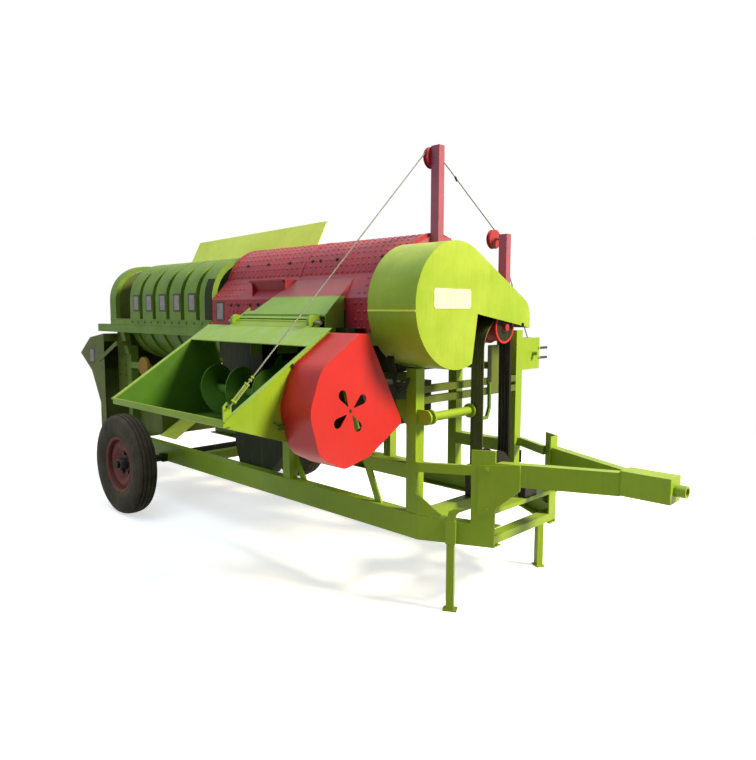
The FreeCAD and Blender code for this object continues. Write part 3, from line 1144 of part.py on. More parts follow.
def masts():
    """Two masts with the rope sheaves, and the plate at the right mast's foot."""
    x0 = BODY_FRONT_X
    post = box(x0, x0 + MAST_X, NEAR_MAST_Y, NEAR_MAST_Y + MAST_Y, NEAR_MAST_Z0, NEAR_MAST_TOP)
    foot = [(NEAR_MAST_Y + y, NEAR_MAST_Z0 + z) for y, z in MAST_PLATE]
    add("masts", post.fuse(plate_x(foot, x0, x0 + GUSSET_T)))
    far_x1 = POST_A_X - POST / 2.0 + FAR_MAST_LAP
    add("masts", box(far_x1 - MAST_X, far_x1, INNER_HALF - MAST_Y, INNER_HALF, FAR_MAST_Z0, FAR_MAST_TOP))
    x1 = BODY_FRONT_X - 1.0
    x0 = x1 - SHEAVE_T
    side = SHEAVE_T / 12.0
    for (y, z), mast_x in zip(sheave_centres(), (BODY_FRONT_X, far_x1 - MAST_X)):
        disc = cyl_x(x0, x1, y, z, SHEAVE_R)
        rope_way = cyl_x(x0 + side, x1 - side, y, z, SHEAVE_R).cut(
            cyl_x(x0 + side, x1 - side, y, z, SHEAVE_R - SHEAVE_GROOVE))
        add("sheaves", disc.cut(rope_way).cut(cyl_x(x0, x1, y, z, SHEAVE_PIN_R + RUN_FIT)))
        pin = cyl_x(x0 - PIN_HEAD_T, mast_x, y, z, SHEAVE_PIN_R)
        add("sheave_pins", pin.fuse(cyl_x(x0 - PIN_HEAD_T, x0 - 1.0, y, z, PIN_HEAD_R)))


def winch():
    """Hand winch on the left tall post: two cheeks, a drum and two studs."""
    x0, x1 = POST_A_X - POST / 2.0, POST_A_X + POST / 2.0
    y0, y1 = FRAME_HALF, FRAME_HALF + WINCH_W
    z0, z1 = WINCH_Z0, WINCH_Z0 + WINCH_H
    z = (z0 + z1) / 2.0
    t = WALL_T
    parts = [box(x1 - t, x1, y0, y1, z0, z1), box(x0, x1, y0, y0 + t, z0, z1),
             cyl_x(x0 - WINCH_SHAFT_OUT, x1 + WINCH_SHAFT_OUT, WINCH_Y, z, WINCH_SHAFT_R),
             cyl_x(x0 + t, x1 - t, WINCH_Y, z, WINCH_DRUM_R)]
    for step in (-WINCH_DRUM_R, WINCH_DRUM_R):
        parts.append(cyl_y(y1 - WINCH_SHAFT_R, y1 + STUD_L, x1 - t / 2.0, z + step, STUD_R))
    add("winch", box(x0, x0 + t, y0, y1, z0, z1).fuse(parts).removeSplitter())


def wrap(y, z, r, start, end):
    """Corner points that carry a rope round a sheave between two angles, in degrees."""
    x = BODY_FRONT_X - 1.0 - SHEAVE_T / 2.0
    step = math.radians(end - start) / 3.0
    reach = r / math.cos(step / 2.0)
    angles = [math.radians(start) + step * (i + 0.5) for i in range(3)]
    return [V(x, y + reach * math.cos(a), z + reach * math.sin(a)) for a in angles]


def lift_rope():
    """Rope from the tray's eye over both sheaves and down to the winch."""
    gap = ROPE_R + SLEEVE_GAP
    r = SHEAVE_R - SHEAVE_GROOVE + gap
    right, left = sheave_centres()
    route = [V(TRAY_X1 + EYE_T + gap, EYE_Y, EYE_Z)]
    route += wrap(*right, r, *RIGHT_WRAP)
    route += wrap(*left, r, *LEFT_WRAP)
    route.append(V(POST_A_X, WINCH_Y + WINCH_DRUM_R + 2.0 * gap, WINCH_Z0 + WINCH_H / 2.0))
    add("lift_rope", tube_path(route, ROPE_R, ROPE_BEND))


def main():
    """Build every node and write it."""
    builders = (chassis, front_frame, drawbar, running_gear, stands, thresher_body, rib_cage, concave, rear_hood,
                top_chute, lower_body, feed_hood, feed_sill, feeder, auger, auger_guard, belt_guard, drive,
                bearings, roller, belts, masts, winch, lift_rope)
    for build in builders:
        build()
    os.makedirs("parts", exist_ok=True)
    for name, solids in NODES.items():
        shape = solids[0] if len(solids) == 1 else Part.makeCompound(solids)
        shape.translate(V(-ORIGIN_X, -ORIGIN_Y, 0))
        shape.exportStep("parts/" + name + ".step")


main()
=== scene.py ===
"""Visual model of a trailed multicrop thresher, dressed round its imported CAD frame.

Sizes are written in machine millimetres: X forward from the axle, Y to the machine's left
from the chassis middle, Z up from the ground. Shape turns them into the frame's metres.
"""
import logging
import math
from dataclasses import dataclass, field
from enum import Enum

import bmesh
import bpy
from mathutils import Euler, Matrix, Vector


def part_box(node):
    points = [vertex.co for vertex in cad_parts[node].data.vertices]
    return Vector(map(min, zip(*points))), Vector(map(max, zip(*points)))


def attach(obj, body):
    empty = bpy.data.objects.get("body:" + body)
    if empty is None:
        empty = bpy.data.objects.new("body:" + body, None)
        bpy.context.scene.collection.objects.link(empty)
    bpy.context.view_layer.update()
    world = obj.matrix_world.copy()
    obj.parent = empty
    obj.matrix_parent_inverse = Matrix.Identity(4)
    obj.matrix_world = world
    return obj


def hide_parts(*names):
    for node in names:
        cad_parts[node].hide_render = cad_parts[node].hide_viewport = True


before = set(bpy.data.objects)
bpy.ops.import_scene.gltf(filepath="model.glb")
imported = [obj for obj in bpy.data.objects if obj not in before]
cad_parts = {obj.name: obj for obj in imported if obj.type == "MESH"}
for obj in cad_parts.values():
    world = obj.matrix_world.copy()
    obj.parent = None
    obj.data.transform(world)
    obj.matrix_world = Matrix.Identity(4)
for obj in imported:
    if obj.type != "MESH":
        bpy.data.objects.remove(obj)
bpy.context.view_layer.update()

log = logging.getLogger("thresher")
MM = 0.001
FULL_TURN = 2.0 * math.pi
SMOOTH_ANGLE = math.radians(35.0)   # edges sharper than this stay sharp in a smooth piece
BEVEL_ANGLE = 0.6                   # radians from which an edge is broken
WELD_DISTANCE = 0.01                # millimetres within which corners are one
WHITE = (1.0, 1.0, 1.0, 1.0)
PLATE_SIZE = (96.0, 128.0)          # small blank plates, width and height

# How the layers of a finish lie: noise levels between which a layer comes in, and its make-up.
PATCH_RANGE = (0.35, 0.7)
STREAK_RANGE = (0.52, 0.8)
STREAK_STRETCH = (1.0, 1.0, 0.12)
DUST_RANGE = (0.3, 0.75)
DUST_MM = 70.0
DUST_FROM_UPWARD = 0.25
SMEAR_SCALE = 9.0
SMEAR_ROUGHNESS = (-0.08, 0.14)
BUMP_STRENGTH = 0.6

Point = tuple[float, float, float]
Flat = tuple[float, float]
Tree = bpy.types.NodeTree
Socket = bpy.types.NodeSocket


# ---- shared helpers --------------------------------------------------------------------
def linear(colour: str) -> tuple[float, float, float, float]:
    """Turns an sRGB hex colour into linear RGBA.

    Args:
        colour: Colour as "#RRGGBB".

    Returns:
        Linear red, green, blue and an alpha of 1.
    """
    parts = [int(colour[i:i + 2], 16) / 255.0 for i in (1, 3, 5)]
    return (*[c / 12.92 if c <= 0.04045 else ((c + 0.055) / 1.055) ** 2.4 for c in parts], 1.0)


def add_node(tree: Tree, kind: str, inputs: dict | None = None, **settings) -> bpy.types.Node:
    """Adds a node with its settings, values and links.

    Args:
        tree: Node tree that gets the node.
        kind: Type name of the node.
        inputs: Values or output sockets by input name or number.
        **settings: Properties of the node itself.

    Returns:
        The new node.
    """
    node = tree.nodes.new(kind)
    for name, value in settings.items():
        setattr(node, name, value)
    for name, value in (inputs or {}).items():
        if isinstance(value, bpy.types.NodeSocket):
            tree.links.new(value, node.inputs[name])
        else:
            node.inputs[name].default_value = value
    return node


def link(name: str, data: bpy.types.ID) -> bpy.types.Object:
    """Makes an object and links it to the scene.

    Args:
        name: Object's name.
        data: Mesh, camera or light that it shows.

    Returns:
        The new object.
    """
    made = bpy.data.objects.new(name, data)
    bpy.context.scene.collection.objects.link(made)
    return made


def empty_tree(owner: bpy.types.Material | bpy.types.World) -> Tree:
    """Turns on an owner's nodes and empties them.

    Args:
        owner: Material or world that gets the nodes.

    Returns:
        Its empty node tree.
    """
    owner.use_nodes = True
    owner.node_tree.nodes.clear()
    return owner.node_tree


def axle_middle() -> Vector:
    """Returns the ground point under the middle of the axle, in the frame's metres."""
    right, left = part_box("tyre_right"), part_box("tyre_left")
    return Vector(((right[0].x + right[1].x) / 2.0, (right[0].y + left[1].y) / 2.0, 0.0))


ORIGIN = axle_middle()


def place(point: Point) -> Vector:
    """Turns a point in machine millimetres into the frame's metres."""
    return ORIGIN + Vector(point) * MM


def high(node: str) -> Vector:
    """Returns a CAD node's highest corner in machine millimetres."""
    return (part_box(node)[1] - ORIGIN) / MM


def low(node: str) -> Vector:
    """Returns a CAD node's lowest corner in machine millimetres."""
    return (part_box(node)[0] - ORIGIN) / MM


def seat(node: str, start: Point, way: Point) -> tuple[Point, Point]:
    """Finds where a line from outside meets a CAD node.

    Args:
        node: CAD node that is met.
        start: Point outside the node, in machine millimetres.
        way: Direction towards the node.

    Returns:
        Place in machine millimetres and the surface's outward direction.
    """
    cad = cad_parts[node]
    back = cad.matrix_world.inverted()
    hit, spot, normal, _ = cad.ray_cast(back @ place(start), back.to_3x3() @ Vector(way).normalized())
    if not hit:
        raise ValueError(f"nothing of {node} on the line from {start}")
    return tuple((cad.matrix_world @ spot - ORIGIN) / MM), tuple(cad.matrix_world.to_3x3() @ normal)


# ---- finishes --------------------------------------------------------------------------
@dataclass(frozen=True)
class Finish:
    """A worn surface: patches of two tones, run-down streaks, a colour on upward faces and a fine bump. The
    colour on upward faces is settled dust, and on the feed tray and the drum's sheets a painted sky sheen.

    Attributes:
        name: Material's name, after the real finish.
        slot: Record's material slot that it belongs to; not used.
        colour: Main colour, sRGB hex.
        patch: Colour of the uneven patches.
        dirt: Colour of dust and streaks; on the feed tray and the drum's sheets, also the painted sky sheen
            of the upward faces.
        dust: Share of that colour on upward faces: dust, and on the feed tray and the drum's sheets the
            painted sky sheen.
        streak: Share of streaks on standing faces.
        roughness: Roughness of the clean surface.
        metallic: Metalness of the surface.
        gloss: Strength of the plain reflection.
        patch_mm: Size of the patches.
        streak_mm: Width of a streak.
        grain_mm: Size of the bump's grain.
        grain_depth_mm: Height of the bump's grain.
    """

    name: str
    slot: str
    colour: str
    patch: str
    dirt: str = "#6B6A45"
    dust: float = 0.16
    streak: float = 0.22
    roughness: float = 0.40
    metallic: float = 0.0
    gloss: float = 0.28
    patch_mm: float = 320.0
    streak_mm: float = 26.0
    grain_mm: float = 3.0
    grain_depth_mm: float = 0.06

    def material(self) -> bpy.types.Material:
        """Returns this finish's material, made once."""
        known = bpy.data.materials.get(self.name)
        if known:
            return known
        made = bpy.data.materials.new(self.name)
        tree = empty_tree(made)
        spot = add_node(tree, "ShaderNodeTexCoord").outputs["Object"]
        colour = self.dusty(tree, spot, self.streaked(tree, spot, self.paint(tree, spot)))
        shader = add_node(tree, "ShaderNodeBsdfPrincipled", {
            "Base Color": colour, "Roughness": self.rough(tree, spot), "Metallic": self.metallic,
            "Specular IOR Level": self.gloss, "Normal": self.grain(tree, spot)})
        add_node(tree, "ShaderNodeOutputMaterial", {"Surface": shader.outputs[0]})
        return made

    def blend(self, tree: Tree, share: Socket, first: Socket | tuple, second: Socket | tuple) -> Socket:
        """Mixes two colours.

        Args:
            tree: Node tree of the material.
            share: Socket with the second colour's share.
            first: First colour, as a value or a socket.
            second: Second colour, as a value or a socket.

        Returns:
            Colour socket.
        """
        return add_node(tree, "ShaderNodeMix", {0: share, 6: first, 7: second}, data_type="RGBA").outputs[2]

    def noise(self, tree: Tree, spot: Socket, size_mm: float, levels: Flat, top: float = 1.0) -> Socket:
        """Gives soft patches of a real size, as a value from 0 to top.

        Args:
            tree: Node tree of the material.
            spot: Coordinates socket.
            size_mm: Size of a patch.
            levels: Noise levels that become 0 and the highest value.
            top: Highest value.

        Returns:
            Value socket.
        """
        noise = add_node(tree, "ShaderNodeTexNoise", {
            "Vector": spot, "Scale": 1000.0 / size_mm, "Detail": 5.0, "Roughness": 0.6})
        return add_node(tree, "ShaderNodeMapRange", {
            "Value": noise.outputs[0], "From Min": levels[0], "From Max": levels[1],
            "To Max": top}).outputs[0]

    def paint(self, tree: Tree, spot: Socket) -> Socket:
        """Gives the clean colour with its uneven patches.

        Args:
            tree: Node tree of the material.
            spot: Coordinates socket.

        Returns:
            Colour socket.
        """
        share = self.noise(tree, spot, self.patch_mm, PATCH_RANGE)
        return self.blend(tree, share, linear(self.colour), linear(self.patch))

    def streaked(self, tree: Tree, spot: Socket, colour: Socket) -> Socket:
        """Adds thin streaks that run down.

        Args:
            tree: Node tree of the material.
            spot: Coordinates socket.
            colour: Colour socket of the paint.

        Returns:
            Colour socket.
        """
        drawn = add_node(tree, "ShaderNodeMapping", {"Vector": spot, "Scale": STREAK_STRETCH})
        share = self.noise(tree, drawn.outputs[0], self.streak_mm, STREAK_RANGE, self.streak)
        return self.blend(tree, share, colour, linear(self.dirt))

    def dusty(self, tree: Tree, spot: Socket, colour: Socket) -> Socket:
        """Lays the dirt colour on the upward faces: settled dust, and on the feed tray and the drum's sheets
        a painted sky sheen.

        Args:
            tree: Node tree of the material.
            spot: Coordinates socket.
            colour: Colour socket of the paint.

        Returns:
            Colour socket.
        """
        normal = add_node(tree, "ShaderNodeNewGeometry").outputs["Normal"]
        up = add_node(tree, "ShaderNodeSeparateXYZ", {0: normal}).outputs["Z"]
        upward = add_node(tree, "ShaderNodeMapRange", {"Value": up, "From Min": DUST_FROM_UPWARD}).outputs[0]
        amount = add_node(tree, "ShaderNodeMath", {
            0: upward, 1: self.noise(tree, spot, DUST_MM, DUST_RANGE, 2.0 * self.dust)}, operation="MULTIPLY")
        return self.blend(tree, amount.outputs[0], colour, linear(self.dirt))

    def rough(self, tree: Tree, spot: Socket) -> Socket:
        """Varies the roughness with smears.

        Args:
            tree: Node tree of the material.
            spot: Coordinates socket.

        Returns:
            Value socket.
        """
        smear = add_node(tree, "ShaderNodeTexNoise", {"Vector": spot, "Scale": SMEAR_SCALE, "Detail": 4.0})
        return add_node(tree, "ShaderNodeMapRange", {
            "Value": smear.outputs[0], "To Min": self.roughness + SMEAR_ROUGHNESS[0],
            "To Max": self.roughness + SMEAR_ROUGHNESS[1]}).outputs[0]

    def grain(self, tree: Tree, spot: Socket) -> Socket:
        """Gives the fine grain of the surface.

        Args:
            tree: Node tree of the material.
            spot: Coordinates socket.

        Returns:
            Normal socket.
        """
        noise = add_node(tree, "ShaderNodeTexNoise", {
            "Vector": spot, "Scale": 1000.0 / self.grain_mm, "Detail": 2.0})
        return add_node(tree, "ShaderNodeBump", {
            "Height": noise.outputs[0], "Distance": self.grain_depth_mm * MM,
            "Strength": BUMP_STRENGTH}).outputs[0]


@dataclass(frozen=True)
class TwoTone(Finish):
    """A second colour beyond a plane, with a soft edge: two-tone enamel on the hood and the winch, a darker
    tone to the rear on the posts, and painted shade on the far strands of the vee belts.

    Attributes:
        upper: Colour beyond the edge, sRGB hex.
        axis: Axis across the edge, as its number.
        edge_mm: Place of the edge on that axis of the machine.
        soft_mm: Width of the soft edge, overspray on the enamels.
    """

    upper: str = "#8A2A30"
    axis: int = 2
    edge_mm: float = 1565.0
    soft_mm: float = 8.0

    def paint(self, tree: Tree, spot: Socket) -> Socket:
        """Gives the two colours, one above the other.

        Args:
            tree: Node tree of the material.
            spot: Coordinates socket.

        Returns:
            Colour socket.
        """
        along = add_node(tree, "ShaderNodeSeparateXYZ", {0: spot}).outputs[self.axis]
        edge = ORIGIN[self.axis] + self.edge_mm * MM
        share = add_node(tree, "ShaderNodeMapRange", {
            "Value": along, "From Min": edge, "From Max": edge + self.soft_mm * MM})
        return self.blend(tree, share.outputs[0], super().paint(tree, spot), linear(self.upper))


class Finishes(Enum):
    """Finishes of the machine."""

    # Sprayed lime enamel on sheet and tube: satin, slightly uneven, streaked under the seams.
    LIME = Finish("lime_enamel_on_steel", "green_paint", "#8CA922", "#7E9C20")
    # The same enamel on the belt guard, with broad yellower and greener patches.
    GUARD = Finish("patchy_lime_enamel", "green_paint", "#A8BE44", "#84A41E", patch_mm=430.0)
    # The same enamel in a pale yellow lime, made paler still as painted sunlight, on the leaning sheet, the
    # grain spout and the guard's seam.
    PALE_LIME_PAINTED_SUNLIT = Finish("pale_lime_enamel_with_painted_sunlight", "green_paint", "#E6F062", "#CFE040", dust=0.05,
                      streak=0.12, patch_mm=420.0)
    # The same enamel in a darker tone, more streaked and rougher, on the rear sheets.
    DARKER_LIME = Finish("darker_streaked_lime_enamel", "green_paint", "#6F8F2A", "#587A24", streak=0.4, roughness=0.48,
                  patch_mm=150.0)
    # A darker, greyer tone of the enamel, heavily streaked with dirt, on the straw hood and the lower side
    # sheets.
    GREY_DARK_LIME = Finish("grey_dark_lime_enamel", "green_paint", "#5F6C24", "#48581E", dirt="#6E6440", streak=0.5,
                     roughness=0.55, patch_mm=130.0)
    # The same enamel on the feed tray, with a pale green laid on its upward faces that is a painted sky
    # sheen.
    TRAY = Finish("lime_enamel_with_painted_sky_sheen", "green_paint", "#8CA922", "#7E9C20", dirt="#8FB476", dust=0.42)
    # Posts darken towards the rear: darker lime there, the plain lime in front.
    POST = TwoTone("lime_enamel_darker_to_the_rear", "green_paint", "#64822A", "#547426",
                   upper="#88A622", axis=0, edge_mm=-500.0, soft_mm=1900.0)
    # Mid green: painted shade on the feed tray's lining and sill, and the darker green of the auger and the
    # tray's latch; roughened dull.
    DEEP = Finish("mid_green_enamel_and_painted_tray_shade", "green_paint", "#4C7A1A", "#3C6418", roughness=0.5, streak=0.12)
    # Black-green enamel on the fan casings, the lower housing, the shaker box, the axle and the cables; on
    # the sheets in the feed mouth and the throat, on the cage's end and in the idler's recess it is painted
    # shade.
    DARK = Finish("black_green_enamel_and_painted_shade", "green_paint", "#262D18", "#1E2414", roughness=0.6, gloss=0.12)
    # Bright red enamel, glossier than the green.
    RED = Finish("bright_red_enamel", "red_paint", "#C62A28", "#BA2626", dirt="#5A3A30", roughness=0.34)
    # Duller red on the drum's sheets, mottled by the weather, with a pale pink laid on its upward faces that
    # is a painted sky sheen.
    MAROON = Finish("dull_red_enamel_with_painted_sky_sheen", "red_paint", "#AA2E36", "#8E2830", dirt="#86606C", dust=0.3,
                    roughness=0.44, patch_mm=180.0)
    # Red enamel bleached pink on the masts.
    PINK = Finish("sun_faded_red_enamel", "red_paint", "#A0566A", "#8C4858", dirt="#6A4A4C")
    # Two tones of the feed hood: green below and faded red above the spray line.
    HOOD = TwoTone("green_and_red_enamel", "green_paint", "#7EA63C", "#729A34", upper="#93404A")
    # Winch plate in lime, with its studs beyond the plate left dark and oily.
    WINCH = TwoTone("lime_enamel_and_oiled_studs", "green_paint", "#8CA922", "#7E9C20",
                    upper="#2C2A28", axis=1, edge_mm=672.0, soft_mm=1.0)
    # Worn wheel paint with rust showing through.
    WHEEL = Finish("rusty_red_wheel_enamel", "wheel_paint", "#74382F", "#54302A", dirt="#5E4A3A",
                   roughness=0.6, patch_mm=60.0, streak=0.4)
    # Tyre rubber, dull and browned by dried soil.
    TYRE = Finish("dusty_tyre_rubber", "tyre_rubber", "#4A463A", "#38352C", dirt="#7A6A50", dust=0.3,
                  roughness=0.82, gloss=0.2, patch_mm=110.0, streak=0.45)
    # Vee belt rubber, matt: olive with chaff dust and a painted sheen on the near strands, and near black on
    # the far strands as painted shade.
    BELT = TwoTone("vee_belt_rubber_painted_lit_and_shaded", "belt_rubber", "#626B3C", "#454A2E", dirt="#8A9260",
                   roughness=0.62, gloss=0.2, streak=0.6, streak_mm=40.0, upper="#24231C", axis=1,
                   edge_mm=-60.0, soft_mm=80.0)
    # Cast iron darkened by oil.
    IRON = Finish("oiled_cast_iron", "cast_iron", "#343230", "#262422", roughness=0.5, metallic=0.5,
                  grain_mm=5.0, grain_depth_mm=0.3)
    # Bare steel with a dull skin.
    STEEL = Finish("dull_bare_steel", "bare_steel", "#8E8C88", "#6E6C68", roughness=0.42, metallic=0.9)
    # Galvanised wire gone grey-green.
    WIRE = Finish("grey_wire_rope", "bare_steel", "#8C8C84", "#6E6E66", roughness=0.55, metallic=0.5)
    # Ochre enamel on the sprocket, dusty with chaff.
    OCHRE = Finish("dusty_ochre_enamel", "ochre_paint", "#B08A22", "#8C6C1E", roughness=0.6)
    # White enamelled plate, blank and still clean.
    PLATE = Finish("white_enamelled_plate", "green_paint", "#D8D6CC", "#C8C6BA", roughness=0.35)
    # The small blank plates, gone grey with age.
    GREY = Finish("weathered_grey_plate", "green_paint", "#9C988E", "#7C7870", roughness=0.45, patch_mm=40.0)
    # Black enamel round the small plates.
    FRAME = Finish("black_enamelled_frame", "green_paint", "#2B2A26", "#34322C", roughness=0.4)


DRESS = {
    Finishes.GUARD: ("belt_guard",),
    Finishes.RED: ("auger_guard",),
    Finishes.TRAY: ("feed_tray",),
    Finishes.POST: ("posts", "mid_rails"),
    Finishes.MAROON: ("drum_housing", "jack_pulley", "sheaves"),
    Finishes.PINK: ("masts",),
    Finishes.WHEEL: ("wheel_right", "wheel_left"),
    Finishes.TYRE: ("tyre_right", "tyre_left"),
    Finishes.BELT: ("long_belts", "short_belts"),
    Finishes.IRON: ("drum_pulley", "input_pulley", "bearings"),
    Finishes.STEEL: ("hinge_rod", "sheave_pins"),
    Finishes.WIRE: ("lift_rope",),
    Finishes.OCHRE: ("shaker_pulley",),
    Finishes.DARK: ("fan_casings", "lower_housing", "shaker_box", "axle"),
    Finishes.HOOD: ("feed_hood",),
    Finishes.WINCH: ("winch",),
    Finishes.PALE_LIME_PAINTED_SUNLIT: ("top_deflector", "grain_spout"),
    Finishes.DARKER_LIME: ("rib_cage", "concave", "side_beams", "shaker_arm"),
    Finishes.GREY_DARK_LIME: ("straw_hood", "side_panels", "rear_wall", "grain_pan", "floor_beams"),
    Finishes.DEEP: ("auger", "feed_sill"),
}


# ---- building meshes -------------------------------------------------------------------
def settle(name: str, mesh: bpy.types.Mesh, finish: Finishes, body: str,
           stands_for: tuple[str, ...] = ()) -> bpy.types.Object:
    """Puts a finished mesh on its body.

    Args:
        name: Piece's name.
        mesh: Mesh in the frame's metres.
        finish: Finish of the piece.
        body: CAD body that carries it.
        stands_for: CAD nodes that the piece replaces.

    Returns:
        The piece's object.
    """
    mesh.name = name
    mesh.materials.clear()
    mesh.materials.append(finish.value.material())
    piece = link(name, mesh)
    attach(piece, body)
    if stands_for:
        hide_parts(*stands_for)
    log.info("%s: %d faces in %s on %s", name, len(mesh.polygons), finish.value.name, body)
    return piece


def neighbours(rings: list, closed: bool) -> list[tuple]:
    """Pairs each ring with the next, and the last with the first where closed."""
    return list(zip(rings, rings[1:] + rings[:1] if closed else rings[1:]))


class Shape:
    """A mesh that is being built in machine millimetres."""

    def __init__(self) -> None:
        """Starts an empty mesh."""
        self.mesh = bmesh.new()

    def prism(self, axis: int, outline: list[Flat], start: float, end: float) -> None:
        """Adds a plate of an outline.

        Args:
            axis: Number of the axis across the plate.
            outline: Corners on the other two axes, in their order.
            start: First face's place on the axis.
            end: Second face's place on the axis.
        """
        rings = []
        for along in (start, end):
            ring = []
            for a, b in outline:
                point = [a, b]
                point.insert(axis, along)
                ring.append(self.mesh.verts.new(point))
            rings.append(ring)
        self.mesh.faces.new(rings[0])
        self.mesh.faces.new(rings[1])
        self.join(rings)

    def box(self, lowest: Point, highest: Point) -> None:
        """Adds a block between two corners.

        Args:
            lowest: Lowest corner.
            highest: Highest corner.
        """
        (x0, y0, z0), (x1, y1, z1) = lowest, highest
        self.prism(2, [(x0, y0), (x1, y0), (x1, y1), (x0, y1)], z0, z1)

    def join(self, rings: list, closed: bool = False) -> None:
        """Joins rings of corners with faces.

        Args:
            rings: Rings with the same number of corners.
            closed: Whether the last ring joins the first.
        """
        for first, second in neighbours(rings, closed):
            count = len(first)
            for i in range(count):
                j = (i + 1) % count
                self.mesh.faces.new((first[i], first[j], second[j], second[i]))

    def tube(self, path: list[Point], radius: float, sides: int = 10) -> None:
        """Adds a round rod along a path.

        Args:
            path: Points of the middle line.
            radius: Radius of the rod.
            sides: Number of sides.
        """
        line = [Vector(p) for p in path]
        rings = []
        side = None
        for i, point in enumerate(line):
            before = line[i - 1] if i else point
            after = line[i + 1] if i + 1 < len(line) else point
            along = (after - before).normalized()
            side = (along.orthogonal() if side is None else side - along * side.dot(along)).normalized()
            up = along.cross(side)
            rings.append([self.mesh.verts.new(point + (side * math.cos(a) + up * math.sin(a)) * radius)
                          for a in (FULL_TURN * k / sides for k in range(sides))])
        self.join(rings, closed=False)
        self.mesh.faces.new(rings[0])
        self.mesh.faces.new(rings[-1])

    def lathe(self, axis: int, centre: Point, profile: list[Flat], steps: int,
              closed: bool = True) -> None:
        """Adds a turned shape.

        Args:
            axis: Number of the axis that it turns about.
            centre: Point on the axis from which the profile is measured.
            profile: Places along the axis and radii.
            steps: Number of steps round.
            closed: Whether the profile is a closed line; otherwise its ends lie on the axis.
        """
        others = [i for i in range(3) if i != axis]
        rings = []
        for along, radius in profile:
            count = steps if radius > 0.0 else 1
            ring = []
            for k in range(count):
                point = list(centre)
                point[axis] += along
                turn = FULL_TURN * k / steps
                point[others[0]] += radius * math.cos(turn)
                point[others[1]] += radius * math.sin(turn)
                ring.append(self.mesh.verts.new(point))
            rings.append(ring)
        for first, second in neighbours(rings, closed):
            for k in range(steps):
                j = (k + 1) % steps
                corners = [first[k % len(first)], first[j % len(first)], second[j % len(second)],
                           second[k % len(second)]]
                self.mesh.faces.new(list(dict.fromkeys(corners)))

    def piece(self, name: str, finish: Finishes, body: str, stands_for: tuple[str, ...] = (),
              smooth: bool = False, bevel: float = 0.0) -> bpy.types.Object:
        """Closes the mesh and puts it on its body.

        Args:
            name: Piece's name.
            finish: Finish of the piece.
            body: CAD body that carries it.
            stands_for: CAD nodes that the piece replaces.
            smooth: Whether gentle edges are shaded smooth.
            bevel: Width of the broken edges.

        Returns:
            The piece's object.
        """
        bmesh.ops.remove_doubles(self.mesh, verts=self.mesh.verts, dist=WELD_DISTANCE)
        bmesh.ops.recalc_face_normals(self.mesh, faces=self.mesh.faces)
        if bevel:
            sharp = [e for e in self.mesh.edges
                     if len(e.link_faces) == 2 and e.calc_face_angle() > BEVEL_ANGLE]
            bmesh.ops.bevel(self.mesh, geom=sharp, offset=bevel, segments=1, affect="EDGES",
                            clamp_overlap=True)
        for vert in self.mesh.verts:
            vert.co = place(vert.co)
        mesh = bpy.data.meshes.new(name)
        self.mesh.to_mesh(mesh)
        self.mesh.free()
        if smooth:
            mesh.shade_smooth()
            mesh.set_sharp_from_angle(angle=SMOOTH_ANGLE)
        return settle(name, mesh, finish, body, stands_for)


